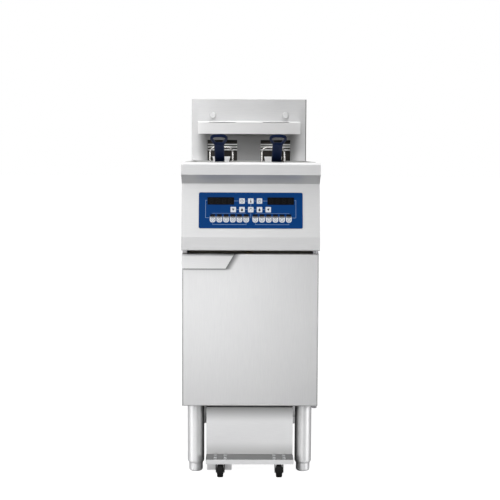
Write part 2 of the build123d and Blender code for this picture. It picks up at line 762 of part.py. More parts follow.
def drain_lever():
    """Flat lever with a dipped grip that turns on the valve's stem."""
    near = LEVER_SETBACK
    far = LEVER_SETBACK + LEVER_THICK
    hub = spindle(LEVER_HUB, 0, (near, far), VALVE_LEVEL)
    bar = block((-LEVER_LENGTH, 0), depth(near, far), across(LEVER_WIDTH / 2, VALVE_LEVEL))
    grip = block(
        (-LEVER_LENGTH - LEVER_GRIP_SKIN, LEVER_GRIP - LEVER_LENGTH),
        depth(near - LEVER_GRIP_SKIN, far + LEVER_GRIP_SKIN),
        across(LEVER_WIDTH / 2 + LEVER_GRIP_SKIN, VALVE_LEVEL),
    )
    grip = fillet(grip.edges().filter_by(Axis.X), LEVER_GRIP_SKIN)
    hole = spindle(STEM_RADIUS + FIT, 0, (near - SHEET, far + SHEET), VALVE_LEVEL)
    return hub + bar + grip - hole


# Door

def door_skin():
    """Front pan of the door with the two hinge pin holes."""
    door = block(across(HALF), depth(DOOR_SETBACK, DOOR_BACK), (DOOR_BOTTOM, DOOR_TOP))
    door = fillet(door.faces().sort_by(Axis.Y)[0].edges(), BEND)
    door = hollow(door, [end_face(door, Axis.Y)])
    return door - upright(PIN_RADIUS + FIT, PIN_X, PIN_SETBACK, (DOOR_BOTTOM - SHEET, DOOR_TOP + SHEET))


def door_liner():
    """Inner pan that closes the door, with a raised panel."""
    low = DOOR_BOTTOM + SHEET
    high = DOOR_TOP - SHEET
    near = DOOR_BACK - LINER_DEPTH
    liner = block(across(INNER), depth(near, DOOR_BACK), (low, high))
    liner = hollow(liner, [end_face(liner, Axis.Y, last=False)])
    width = across(INNER - LINER_PANEL_INSET)
    height = (low + LINER_PANEL_INSET, high - LINER_PANEL_INSET)
    recess = block(width, depth(DOOR_BACK - SHEET, DOOR_BACK + SHEET), height)
    pressed = block(width, depth(DOOR_BACK - LINER_PANEL_DEPTH - SHEET, DOOR_BACK), height)
    return liner - recess + hollow(pressed, [end_face(pressed, Axis.Y)])


def door_handle():
    """Folded pull along the door's top edge, with a slanted end."""
    plate = DOOR_SETBACK - HANDLE_STANDOFF + SHEET
    under = DOOR_TOP - SHEET
    flange = DOOR_SETBACK - SHEET
    pull = bent_sheet(
        [
            (plate, DOOR_TOP - HANDLE_DROP),
            (plate, under),
            (flange, under),
            (flange, DOOR_TOP - HANDLE_FLANGE),
        ],
        [HANDLE_FOLD, BEND - SHEET],
        (-HALF, HANDLE_LENGTH - HALF),
    )
    outline = Polygon(
        (-HALF, DOOR_TOP),
        (HANDLE_LENGTH - HALF, DOOR_TOP),
        (HANDLE_LENGTH - HANDLE_SLANT - HALF, DOOR_TOP - HANDLE_DROP),
        (-HALF, DOOR_TOP - HANDLE_DROP),
        align=None,
    )
    outline = fillet(outline.vertices().sort_by(Axis.Y)[:2], HANDLE_CORNER)
    return pull & front_solid(outline, 0, DOOR_BACK)


def hinge_plate(end, z_limits):
    """Flat plate round the pin axis that runs back under the cabinet."""
    nose = upright(HINGE_NOSE, PIN_X, PIN_SETBACK, z_limits)
    return nose + block(across(HINGE_NOSE, PIN_X), depth(PIN_SETBACK, end), z_limits)


def door_hinges():
    """Upper hinge under the fascia and lower hinge under the base, each with its pin."""
    upper = hinge_plate(JAMB, (FASCIA_BOTTOM - HINGE_PLATE, FASCIA_BOTTOM))
    upper += upright(2 * PIN_RADIUS, PIN_X, PIN_SETBACK, (DOOR_TOP + GAP, FASCIA_BOTTOM))
    upper += upright(PIN_RADIUS, PIN_X, PIN_SETBACK, (DOOR_TOP - PIN_LENGTH, FASCIA_BOTTOM))
    lower = hinge_plate(JAMB + HINGE_TAIL, (CABINET_FLOOR - HINGE_PLATE, CABINET_FLOOR))
    lower += upright(2 * PIN_RADIUS, PIN_X, PIN_SETBACK, (CABINET_FLOOR - HINGE_PLATE, DOOR_BOTTOM - GAP))
    lower += upright(PIN_RADIUS, PIN_X, PIN_SETBACK, (CABINET_FLOOR - HINGE_PLATE, DOOR_BOTTOM + PIN_LENGTH))
    return [upper, lower]


# Legs and feet

LEG_PLACES = {
    "front_left": (-LEG_X, LEG_FRONT),
    "front_right": (LEG_X, LEG_FRONT),
    "rear_left": (-LEG_X, DEPTH - LEG_REAR),
    "rear_right": (LEG_X, DEPTH - LEG_REAR),
}


def leg(x, setback):
    """Tube leg with a bolting plate, a tapered tip and an insert for the foot's stem."""
    tip = FOOT_HEIGHT + GAP
    bore = tip + FOOT_STEM_LENGTH
    post = upright(LEG_RADIUS, x, setback, (tip + LEG_TAPER, CABINET_FLOOR))
    post += Pos(x, back(setback), tip + LEG_TAPER / 2) * Cone(LEG_TIP, LEG_RADIUS, LEG_TAPER)
    post += block(
        across(LEG_PLATE / 2, x),
        depth(setback - LEG_PLATE / 2, setback + LEG_PLATE / 2),
        (CABINET_FLOOR - LEG_PLATE_THICK, CABINET_FLOOR),
    )
    post -= upright(FOOT_STEM + FIT, x, setback, (tip, bore))
    inside = (tip + LEG_INSERT, CABINET_FLOOR - LEG_PLATE_THICK)
    return post - upright(LEG_RADIUS - LEG_WALL, x, setback, inside)


def foot(x, setback):
    """Bullet foot on a screw stem."""
    pad = upright(FOOT_RADIUS, x, setback, (0, FOOT_HEIGHT))
    pad = fillet(end_face(pad, Axis.Z, last=False).edges(), FOOT_ROUND)
    return pad + upright(FOOT_STEM, x, setback, (FOOT_HEIGHT, FOOT_HEIGHT + FOOT_STEM_LENGTH))


# Baskets

def basket_middle(side):
    """The x of a basket's middle."""
    return side * BASKET_PITCH / 2 + BASKET_SHIFT


def basket_outline(level, grow, drawn=0.0):
    """Plan of the rim's rod at a level, with its middle line grown and then drawn in by an amount."""
    inside = BASKET_RIM - grow + drawn
    width = 2 * (BASKET_HALF - inside)
    length = BASKET_REAR - BASKET_FRONT - 2 * inside
    return Plane.XY.offset(level) * RectangleRounded(width, length, BASKET_ROUND + grow)


def basket_pan(bottom, grow):
    """Solid pan under the rim's rod, tapered towards a rounded bottom."""
    floor = basket_outline(bottom, grow, BASKET_TAPER)
    pan = loft([floor, basket_outline(BASKET_TOP - BASKET_RIM, grow)])
    return fillet(end_face(pan, Axis.Z, last=False).edges(), BASKET_ROUND - BASKET_WALL + grow)


def basket_walls():
    """Walls and floor of a basket."""
    half_wall = BASKET_WALL / 2
    return basket_pan(BASKET_FLOOR, half_wall) - basket_pan(BASKET_FLOOR + BASKET_WALL, -half_wall)


def basket(side, walls):
    """Open basket with a round rim, a rear hook and two neck wires up to the grip."""
    middle = basket_middle(side)
    path = basket_outline(BASKET_TOP - BASKET_RIM, 0).wire()
    rim = sweep(Plane(origin=path @ 0, z_dir=path % 0) * Circle(BASKET_RIM), path=path)
    frame = Pos(middle, back((BASKET_FRONT + BASKET_REAR) / 2), 0) * (walls + rim)
    return frame + basket_hook(middle) + neck_wires(middle)


def basket_hook(middle):
    """Wire loop and plate at the back of a basket, for hanging it up."""
    setback = BASKET_REAR - BASKET_RIM
    low = BASKET_TOP - BASKET_RIM
    high = BASKET_TOP + HOOK_RISE
    half = HOOK_WIDTH / 2 - HOOK_WIRE
    points = [(-half, low), (-half, high), (half, high), (half, low)]
    path = FilletPolyline(*[(middle + x, back(setback), z) for x, z in points], radius=half / 2)
    loop = sweep(Plane(origin=path @ 0, z_dir=path % 0) * Circle(HOOK_WIRE), path=path)
    plate = Polygon(
        (middle - HOOK_PLATE_FOOT / 2, low),
        (middle + HOOK_PLATE_FOOT / 2, low),
        (middle + HOOK_PLATE_TOP / 2, BASKET_TOP + HOOK_PLATE_RISE),
        (middle - HOOK_PLATE_TOP / 2, BASKET_TOP + HOOK_PLATE_RISE),
        align=None,
    )
    face = setback - HOOK_PLATE_THICK / 2
    return loop + front_solid(plate, face, face + HOOK_PLATE_THICK)


def grip_plane(middle):
    """Middle plane of a grip: x across, y along the grip towards its loop, origin at the loop's end."""
    angle = math.radians(GRIP_ANGLE)
    return Plane(
        origin=(middle, back(GRIP_END), LEDGE_TOP + GRIP_TOP),
        x_dir=(-1, 0, 0),
        z_dir=(0, math.sin(angle), math.cos(angle)),
    )


def neck_route(middle, x):
    """Path of one neck wire, from inside the grip down to the basket's rim."""
    plane = grip_plane(middle)
    grip_foot = -(GRIP_LOOP + GRIP_STRAP)
    inner = plane.from_local_coords((x, grip_foot + NECK_SOCKET, 0))
    outer = plane.from_local_coords((x, grip_foot - BASKET_FRONT_GAP, 0))
    rim_y = back(BASKET_FRONT + BASKET_RIM)
    run = (rim_y - outer.Y) / (inner.Y - outer.Y)
    knee = outer + (inner - outer) * run
    return [inner, knee, Vector(knee.X, rim_y, BASKET_TOP - BASKET_RIM)]


def neck_wires(middle):
    """Two bent wires between a basket's front rim and its grip."""
    wires = None
    for x in (-NECK_SPREAD / 2, NECK_SPREAD / 2):
        path = FilletPolyline(*neck_route(middle, x), radius=2 * NECK_WIRE)
        wire = sweep(Plane(origin=path @ 0, z_dir=path % 0) * Circle(NECK_WIRE), path=path)
        wires = wire if wires is None else wires + wire
    return wires


def loop_outline():
    """Rounded triangle of the grip's loop."""
    half = GRIP_LOOP_WIDTH / 2
    outline = Polygon(
        (-GRIP_WIDTH / 2, -GRIP_LOOP),
        (GRIP_WIDTH / 2, -GRIP_LOOP),
        (half, -GRIP_SHOULDER),
        (half, 0),
        (-half, 0),
        (-half, -GRIP_SHOULDER),
        align=None,
    )
    outline = fillet(outline.vertices().sort_by(Axis.Y)[4:], GRIP_CROWN)
    return fillet(outline.vertices().sort_by(Axis.Y)[2:4], GRIP_SHOULDER_ROUND)


def basket_grip(side):
    """Dipped grip: a flat strap over the neck wires that opens into a loop."""
    middle = basket_middle(side)
    strap = Pos(0, -GRIP_LOOP - GRIP_STRAP / 2) * Rectangle(GRIP_WIDTH, GRIP_STRAP)
    outline = strap + loop_outline() - offset(loop_outline(), amount=-GRIP_TUBE)
    grip = extrude(Pos(0, 0, -GRIP_THICK / 2) * outline, amount=GRIP_THICK, dir=(0, 0, 1))
    flat_edges = [edge for face in grip.faces().filter_by(Axis.Z) for edge in face.edges()]
    grip = grip_plane(middle) * fillet(flat_edges, GRIP_ROUND)
    return grip - neck_wires(middle)


# Oil cart

def cart_chassis():
    """Plate with folded lips, bolt holes for the casters and a hole for the pan's outlet."""
    chassis = block(across(CART_HALF), depth(CART_FRONT, CART_BACK), (CART_TOP - CART_LIP, CART_TOP))
    chassis = hollow(chassis, [end_face(chassis, Axis.Z, last=False)], CART_PLATE)
    for x, setback in caster_places():
        for bolt_x, bolt_setback in bolt_places(x, setback):
            chassis -= upright(BOLT_RADIUS, bolt_x, bolt_setback, (CART_UNDER - SHEET, CART_TOP + SHEET))
    neck_x, neck_setback = outlet_place()
    return chassis - upright(OUTLET_NECK, neck_x, neck_setback, (CART_UNDER - SHEET, CART_TOP + SHEET))


def caster_places():
    """The x and setback of the middle of every caster plate."""
    return [(side * CASTER_X, setback) for setback in (SWIVEL_SETBACK, REAR_AXLE) for side in SIDES.values()]


def bolt_places(x, setback):
    """The four bolts of one caster plate."""
    half = BOLT_PITCH / 2
    return [(x + dx, setback + dy) for dx in (-half, half) for dy in (-half, half)]


def outlet_place():
    """The x and setback of the pan's outlet neck."""
    return (
        -CART_HALF + CART_PLATE + OUTLET_WIDTH / 2,
        CART_FRONT + OUTLET_SETBACK + OUTLET_DEPTH / 2,
    )


def oil_pan():
    """Open pan on the chassis, with an outlet block under it."""
    pan = block(across(CART_HALF), depth(PAN_FRONT, PAN_BACK), (CART_TOP, PAN_TOP))
    pan = fillet(pan.edges().filter_by(Axis.Z), PAN_ROUND / 4)
    pan = hollow(pan, [end_face(pan, Axis.Z)])
    neck_x, neck_setback = outlet_place()
    outlet = block(
        across(OUTLET_WIDTH / 2, neck_x),
        depth(neck_setback - OUTLET_DEPTH / 2, neck_setback + OUTLET_DEPTH / 2),
        (OUTLET_FLOOR, CART_UNDER),
    )
    outlet += upright(OUTLET_NECK, neck_x, neck_setback, (CART_UNDER - SHEET, CART_TOP + SHEET / 2))
    return pan + outlet


def caster_plate(x, setback):
    """Plate under the chassis with four bolts whose heads lie on the chassis."""
    half = CASTER_PLATE / 2
    plate = block(
        across(half, x), depth(setback - half, setback + half), (CART_UNDER - CASTER_PLATE_THICK, CART_UNDER)
    )
    for bolt_x, bolt_setback in bolt_places(x, setback):
        plate += upright(BOLT_RADIUS, bolt_x, bolt_setback, (CART_UNDER - SHEET, CART_TOP + SHEET))
        plate += upright(BOLT_HEAD, bolt_x, bolt_setback, (CART_TOP, CART_TOP + BOLT_HEAD_HEIGHT))
    return plate


def crown_top():
    """Top of a swivel fork's crown, under the caster plate."""
    return CART_UNDER - CASTER_PLATE_THICK - GAP


def caster_mounts():
    """Front swivel plates and rear plates with rigid forks."""
    mounts = []
    for x, setback in caster_places():
        plate = caster_plate(x, setback)
        if setback == SWIVEL_SETBACK:
            hole = upright(KING_PIN + FIT, x, setback, (CART_UNDER - CASTER_PLATE_THICK, CART_UNDER))
            mounts.append(plate - hole)
        else:
            mounts.append(plate + fork_legs(x, setback, setback, CART_UNDER - SHEET))
    return mounts


def fork_legs(x, axle, head, top):
    """Two fork cheeks from a level down to the axle, and the axle between them."""
    half = WHEEL_WIDTH / 2 + HUB_PROUD + GAP
    low = WHEEL_RADIUS
    outline = [
        (head - FORK_WIDTH / 2, top),
        (head + FORK_WIDTH / 2, top),
        (axle + 2 * AXLE_RADIUS, low - AXLE_RADIUS),
        (axle, low - 2 * AXLE_RADIUS),
        (axle - 2 * AXLE_RADIUS, low - AXLE_RADIUS),
    ]
    legs = crossbar(AXLE_RADIUS, across(half + FORK_THICK, x), axle, low)
    for side in SIDES.values():
        inside = x + side * half
        outside = inside + side * FORK_THICK
        legs += side_solid(outline, sorted((inside, outside)))
    return legs


def front_fork(side):
    """Swivel fork with its king pin; the wheel stands in front of the swivel axis."""
    x = side * CASTER_X
    top = crown_top()
    crown = upright(CROWN_RADIUS, x, SWIVEL_SETBACK, (top - CROWN_THICK, top))
    pin = upright(KING_PIN, x, SWIVEL_SETBACK, (top - CROWN_THICK, CART_UNDER - GAP))
    legs = fork_legs(x, SWIVEL_SETBACK - CASTER_TRAIL, SWIVEL_SETBACK, top - CROWN_THICK / 2)
    return crown + pin + legs


def wheel(x, axle):
    """Rounded tyre with a proud hub and a bore for the axle."""
    tyre = crossbar(WHEEL_RADIUS, across(WHEEL_WIDTH / 2, x), axle, WHEEL_RADIUS)
    tyre = fillet(tyre.edges().filter_by(GeomType.CIRCLE), WHEEL_ROUND)
    tyre += crossbar(HUB_RADIUS, across(WHEEL_WIDTH / 2 + HUB_PROUD, x), axle, WHEEL_RADIUS)
    return tyre - crossbar(AXLE_RADIUS + FIT, across(WHEEL_WIDTH, x), axle, WHEEL_RADIUS)


def build():
    """Every node of the fryer by name."""
    right_panel = side_panel()
    walls = basket_walls()
    nodes = {
        "left_side_panel": mirrored(right_panel),
        "right_side_panel": right_panel,
        "rear_panel": rear_panel(),
        "base_frame": base_frame(),
        "top_deck": top_deck(),
        "control_fascia": control_fascia(),
        "keypad_overlay": keypad_overlay(),
        "display_board": display_board(),
        "riser_shell": riser_shell(),
        "basket_hanger": basket_hanger(),
        "hanger_thumbscrews": hanger_thumbscrews(),
        "legs": [leg(*place) for place in LEG_PLACES.values()],
        "fry_tank": fry_tank(),
        "temperature_probe": temperature_probe(),
        "contactor_box": contactor_box(),
        "drain_valve": drain_valve(),
        "drain_lever": drain_lever(),
        "door_skin": door_skin(),
        "door_liner": door_liner(),
        "door_handle": door_handle(),
        "door_hinges": door_hinges(),
        "cart_chassis": cart_chassis(),
        "oil_pan": oil_pan(),
        "caster_mounts": caster_mounts(),
    }
    for name, place in LEG_PLACES.items():
        nodes[f"foot_{name}"] = foot(*place)
    for name, side in SIDES.items():
        nodes[f"element_{name}"] = element(side)
        nodes[f"basket_{name}"] = basket(side, walls)
        nodes[f"basket_grip_{name}"] = basket_grip(side)
        nodes[f"front_fork_{name}"] = front_fork(side)
        nodes[f"wheel_front_{name}"] = wheel(side * CASTER_X, SWIVEL_SETBACK - CASTER_TRAIL)
        nodes[f"wheel_rear_{name}"] = wheel(side * CASTER_X, REAR_AXLE)
    for name, outline, x, y in key_places():
        nodes[name] = key(outline, x, y)
    return nodes


os.makedirs("parts", exist_ok=True)
for node, shape in build().items():
    solids = shape if isinstance(shape, list) else [shape]
    export_step(Compound([solid for piece in solids for solid in piece.solids()]), f"parts/{node}.step")
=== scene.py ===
# %% [markdown]
# # A floor fryer in stainless steel
# The solid model arrives finished: sheet-metal cabinet, tank, baskets, door and oil cart, each
# piece where it belongs, in metres, with the front towards -Y. This lesson dresses it. It sets the
# camera, builds a soft studio, writes one finish for every surface, and adds what a solid model
# leaves out: woven wire, printed lines, key symbols, knurling and small screws. Shapes are given in
# millimetres, and what lies deep in the fryer is measured back from the front of its ledge.

# %% Load the solid model
import math

import bmesh
import bpy
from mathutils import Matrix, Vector


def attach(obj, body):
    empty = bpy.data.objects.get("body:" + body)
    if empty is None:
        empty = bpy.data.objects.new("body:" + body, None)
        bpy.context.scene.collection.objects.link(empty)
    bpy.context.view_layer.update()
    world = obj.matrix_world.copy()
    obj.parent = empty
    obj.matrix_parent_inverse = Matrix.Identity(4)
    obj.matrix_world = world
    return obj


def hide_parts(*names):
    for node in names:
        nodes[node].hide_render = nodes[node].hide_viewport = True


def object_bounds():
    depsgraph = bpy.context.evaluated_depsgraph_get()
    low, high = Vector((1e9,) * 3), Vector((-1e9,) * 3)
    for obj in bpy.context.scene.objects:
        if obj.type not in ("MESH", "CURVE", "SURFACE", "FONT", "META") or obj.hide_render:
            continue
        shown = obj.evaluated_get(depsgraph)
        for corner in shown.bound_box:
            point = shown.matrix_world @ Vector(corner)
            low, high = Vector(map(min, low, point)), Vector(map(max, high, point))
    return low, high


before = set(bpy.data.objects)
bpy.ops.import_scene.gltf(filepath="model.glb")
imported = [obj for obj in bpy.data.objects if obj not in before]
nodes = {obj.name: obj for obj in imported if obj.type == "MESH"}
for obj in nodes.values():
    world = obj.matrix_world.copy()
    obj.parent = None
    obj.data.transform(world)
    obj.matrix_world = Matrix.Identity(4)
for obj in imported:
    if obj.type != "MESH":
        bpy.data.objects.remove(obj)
cad_low, cad_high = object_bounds()
scene = bpy.context.scene
scene.view_settings.view_transform = "Standard"
MM = 0.001
DEPTH = round((cad_high.y - cad_low.y) / MM, 1)


def back(setback):
    """The y in millimetres of what lies a distance behind the ledge's front."""
    return setback - DEPTH / 2


print("nodes", len(nodes), "depth", DEPTH, "mm, height", round(cad_high.z / MM, 1), "mm")

# %% [markdown]
# ## Camera
# The portrait is taken from almost straight in front, a little above the work surface, with a short
# telephoto lens. The downward tilt of five degrees and the lens were worked out from how the legs,
# the ledge and the riser shrink with distance.

# %% Place the camera
FOCAL_PIXELS, FRAME_PIXELS = 1118.0, 500.0
CAMERA_PLACE = (-0.0345, -3.5595, 0.946)
CAMERA_PITCH, CAMERA_ROLL, CAMERA_YAW = 85.02, -0.25, -0.567
camera_data = bpy.data.cameras.new("portrait")
camera_data.sensor_width = 36.0
camera_data.lens = FOCAL_PIXELS / FRAME_PIXELS * camera_data.sensor_width
camera = bpy.data.objects.new("portrait", camera_data)
camera.location = CAMERA_PLACE
camera.rotation_euler = [math.radians(turn) for turn in (CAMERA_PITCH, CAMERA_ROLL, CAMERA_YAW)]
scene.collection.objects.link(camera)
scene.camera = camera
print("lens", round(camera_data.lens, 1), "mm")

# %% [markdown]
# ## Node trees written as sums
# Shader and geometry trees are easier to read as expressions. `Signal` wraps one output socket and
# lets `+`, `-`, `*`, `/` and comparisons add Math nodes. `Board` adds any other node: its type, its
# settings, and the values or signals that go into its sockets.

# %% Wrap sockets


class Signal:
    """One output socket of a node tree that can be used in a sum."""

    def __init__(self, board, socket):
        self.board, self.socket = board, socket

    def other(self, name):
        """Another output of the same node."""
        return Signal(self.board, self.socket.node.outputs[name])

    def math(self, operation, first, second=0.0):
        kind = "ShaderNodeMath"
        return self.board.add(kind, {"operation": operation}, {0: first, 1: second})

    def __add__(self, other):
        return self.math("ADD", self, other)

    def __sub__(self, other):
        return self.math("SUBTRACT", self, other)

    def __rsub__(self, other):
        return self.math("SUBTRACT", other, self)

    def __mul__(self, other):
        return self.math("MULTIPLY", self, other)

    def __truediv__(self, other):
        return self.math("DIVIDE", self, other)

    def __gt__(self, other):
        return self.math("GREATER_THAN", self, other)

    def __lt__(self, other):
        return self.math("LESS_THAN", self, other)

    def __abs__(self):
        return self.math("ABSOLUTE", self)

    __radd__ = __add__
    __rmul__ = __mul__


# %% Wrap trees


class Board:
    """A node tree under construction."""

    def __init__(self, tree):
        self.tree = tree

    def feed(self, node, inputs):
        """Links each signal to a socket of the node, and writes each plain value into one."""
        for name, value in inputs.items():
            if isinstance(value, Signal):
                self.tree.links.new(value.socket, node.inputs[name])
            else:
                node.inputs[name].default_value = value

    def add(self, kind, settings=None, inputs=None, output=0):
        """A new node of a kind, with its settings made first, as the signal of one output."""
        node = self.tree.nodes.new(kind)
        for name, value in (settings or {}).items():
            if name == "stops":
                ramp = node.color_ramp.elements
                while len(ramp) < len(value):
                    ramp.new(1.0)
                for stop, (place, color) in zip(ramp, value):
                    stop.position, stop.color = place, (*color, 1.0)
            else:
                setattr(node, name, value)
        self.feed(node, inputs or {})
        return Signal(self, node.outputs[output]) if node.outputs else None


# %% [markdown]
# ## Studio
# A catalogue portrait of steel is really a picture of what the steel reflects. Lamps alone would
# leave it black between them, so the world gives it a room: white to the camera, and a soft falling
# grey to the reflections, bright above, to the left and behind, where the white sweep hangs, darker
# below and to the right. Light Path tells the world which kind of ray is asking.

# %% Build the world
LIGHT_PATH, MAP_RANGE = "ShaderNodeLightPath", "ShaderNodeMapRange"
BACKGROUND, MIX_SHADER = "ShaderNodeBackground", "ShaderNodeMixShader"
SMOOTH = {"interpolation_type": "SMOOTHSTEP"}
WHITE, COOL = (1.0, 1.0, 1.0, 1.0), (0.95, 0.97, 1.0, 1.0)
RIGHT_SHADE, FILL_LIGHT = 0.5, 0.25
FALL_RANGE = {"From Min": -0.2, "From Max": 0.8, "To Min": 0.10, "To Max": 0.60}
SWEEP_RANGE = {"From Min": 0.1, "From Max": 0.7, "To Min": 0.0, "To Max": 0.55}
world = bpy.data.worlds.new("studio")
world.use_nodes = True
world.node_tree.nodes.clear()
sky = Board(world.node_tree)
to_camera = sky.add(LIGHT_PATH, output="Is Camera Ray")
to_metal = to_camera.other("Is Glossy Ray")
to_glass = to_camera.other("Is Transmission Ray")
direction = sky.add("ShaderNodeTexCoord", output="Generated")
side = sky.add("ShaderNodeSeparateXYZ", inputs={0: direction}, output="X")
depth, rise = side.other("Y"), side.other("Z")
fall = sky.add(MAP_RANGE, SMOOTH, {"Value": rise - side * RIGHT_SHADE, **FALL_RANGE})
sweep = sky.add(MAP_RANGE, SMOOTH, {"Value": depth, **SWEEP_RANGE})
metal_world = sky.add(BACKGROUND, inputs={"Color": WHITE, "Strength": fall + sweep})
fill_world = sky.add(BACKGROUND, inputs={"Color": COOL, "Strength": FILL_LIGHT})
white_world = sky.add(BACKGROUND, inputs={"Color": WHITE, "Strength": 1.0})
indirect = sky.add(MIX_SHADER, inputs={0: to_metal + to_glass, 1: fill_world, 2: metal_world})
whole = sky.add(MIX_SHADER, inputs={0: to_camera, 1: indirect, 2: white_world})
sky.add("ShaderNodeOutputWorld", inputs={"Surface": whole})
scene.world = world
print("world of", len(world.node_tree.nodes), "nodes")

# %% [markdown]
# The fryer stands on a paper sweep. One wide plane is enough for it. Its paper is grey, so that it
# throws little light back up at the steel, and it glows for the camera alone, so that it shows white
# and still keeps a faint shadow.

# %% Lay the floor
FLOOR_REACH, FLOOR_GLOW = 40.0, 0.94
PAPER_GREYS = [(0.3, (0.42, 0.42, 0.42)), (0.7, (0.44, 0.44, 0.44))]
corners = [Vector(corner) * FLOOR_REACH for corner in ((-1, -1, 0), (1, -1, 0), (1, 1, 0), (-1, 1, 0))]
floor_mesh = bpy.data.meshes.new("floor")
floor_mesh.from_pydata(corners, [], [(0, 1, 2, 3)])
floor = bpy.data.objects.new("floor", floor_mesh)
scene.collection.objects.link(floor)
pale = bpy.data.materials.new("pale_floor")
pale.use_nodes = True
pale.node_tree.nodes.clear()
ground = Board(pale.node_tree)
seen = ground.add(LIGHT_PATH, output="Is Camera Ray")
place = ground.add("ShaderNodeTexCoord", output="Object")
mottle = ground.add("ShaderNodeTexNoise", inputs={"Vector": place, "Scale": 3.0, "Detail": 3.0})
grey = ground.add("ShaderNodeValToRGB", {"stops": PAPER_GREYS}, {0: mottle})
paper = ground.add("ShaderNodeBsdfDiffuse", inputs={"Color": grey})
glow = ground.add("ShaderNodeEmission", inputs={"Strength": FLOOR_GLOW})
lit = ground.add("ShaderNodeAddShader", inputs={0: paper, 1: glow})
shown = ground.add(MIX_SHADER, inputs={0: seen, 1: paper, 2: lit})
ground.add("ShaderNodeOutputMaterial", inputs={"Surface": shown})
floor_mesh.materials.append(pale)
print("floor", 2 * FLOOR_REACH, "m wide")

# %% [markdown]
# The lamps are softboxes, because a small bulb would leave hard specks in brushed steel. Two hang
# above for the ledge and the baskets, three stand in front for the door and the panel, and one low
# at each side lights the cart and the legs.

# %% Hang the lamps


def softbox(name, place, target, width, height, watts):
    """A rectangular lamp that faces a point and doesn't show in the picture."""
    data = bpy.data.lights.new(name, "AREA")
    data.shape = "RECTANGLE"
    data.size, data.size_y, data.energy = width, height, watts
    lamp = bpy.data.objects.new(name, data)
    lamp.location = place
    lamp.rotation_euler = (Vector(target) - Vector(place)).to_track_quat("-Z", "Y").to_euler()
    lamp.visible_camera = False
    scene.collection.objects.link(lamp)


softbox("top", (0.0, -1.0, 3.3), (0, 0.0, 1.0), width=1.6, height=1.0, watts=18.6)
softbox("top_back", (0.0, -0.2, 3.0), (0, 0.2, 1.0), width=1.6, height=0.8, watts=3.8)
softbox("key_left", (-1.3, -2.2, 2.6), (0, -0.3, 0.7), width=1.0, height=1.0, watts=20.0)
softbox("key_front", (-0.4, -3.3, 1.5), (0, -0.3, 0.6), width=0.8, height=0.6, watts=6.6)
softbox("front_low", (-0.25, -2.9, 0.2), (0, -0.3, 0.4), width=0.7, height=0.3, watts=5.5)
softbox("box_left", (-2.05, -1.45, 0.6), (-0.1, -0.3, 0.3), width=1.5, height=1.0, watts=19.4)
softbox("box_right", (2.05, -1.45, 0.6), (0.1, -0.3, 0.3), width=1.5, height=1.0, watts=23.9)

# %% [markdown]
# ## Finishes
# Every finish is one Principled shader. It reads Object coordinates, so it stays on its piece when
# the piece moves. A few short methods cover what all finishes need: noise, colour ramps, blends by a
# mask, a bump, a fade between two values and the piece's own axes.

# %% Write the finish helpers


def opaque(color):
    """A colour with its alpha. A signal stays as it is."""
    return color if isinstance(color, Signal) else (*color, 1.0)


def between(value, low, high):
    """A signal that lies from 0 to 1, moved to lie from low to high."""
    return value * (high - low) + low


class Finish(Board):
    """A material built round one Principled shader."""

    def __init__(self, name):
        self.material = bpy.data.materials.new(name)
        self.material.use_nodes = True
        super().__init__(self.material.node_tree)
        self.shader = self.tree.nodes["Principled BSDF"]
        self.place = self.add("ShaderNodeTexCoord", output="Object")

    def set(self, **sockets):
        self.feed(self.shader, {name.replace("_", " "): value for name, value in sockets.items()})

    def noise(self, scale, detail=3.0, stretch=(1, 1, 1)):
        spread = self.add("ShaderNodeMapping", inputs={"Vector": self.place, "Scale": stretch})
        inputs = {"Vector": spread, "Scale": scale, "Detail": detail}
        return self.add("ShaderNodeTexNoise", inputs=inputs)

    def ramp(self, value, dark, light):
        stops = [(0.3, dark), (0.7, light)]
        return self.add("ShaderNodeValToRGB", {"stops": stops}, {0: value})

    def blend(self, mask, first, second):
        inputs = {0: mask, 6: opaque(first), 7: opaque(second)}
        return self.add("ShaderNodeMix", {"data_type": "RGBA"}, inputs, output=2)

    def bump(self, height, distance, strength=0.3):
        inputs = {"Height": height, "Distance": distance, "Strength": strength}
        self.set(Normal=self.add("ShaderNodeBump", inputs=inputs))
        return self

    def fade(self, value, start, end):
        return self.add(MAP_RANGE, SMOOTH, {"Value": value, "From Min": start, "From Max": end})

    def axis(self, letter):
        return self.add("ShaderNodeSeparateXYZ", inputs={0: self.place}, output=letter)


# %% [markdown]
# ## Brushed steel
# Brushed sheet has fine lines along one direction. A photograph of steel could be wrapped round it,
# but a noise that is pulled out along one axis has no seams and fits every piece. It moves the
# tone, the roughness and the bump together, and a slow cloud on top stands for wiping marks. The
# Anisotropic value draws highlights out at right angles to the lines. Wide sheets that face a soft
# light have it at 0, because there it would only shade them from side to side.

# %% Brush the steel
GRAINS = {"X": (0.02, 1, 1), "Y": (1, 0.02, 1), "Z": (1, 1, 0.02)}
LINE_SCALE, LINE_SHARE, LINE_DEPTH = 1400.0, 0.6, 0.00004
WIPE_SCALE, WIPE_SHARE = 6.0, 0.4
TONE_SPREAD, ROUGH_SPREAD, COLD_TINT = 0.05, 0.07, 1.01
ACROSS_TURN = 0.25


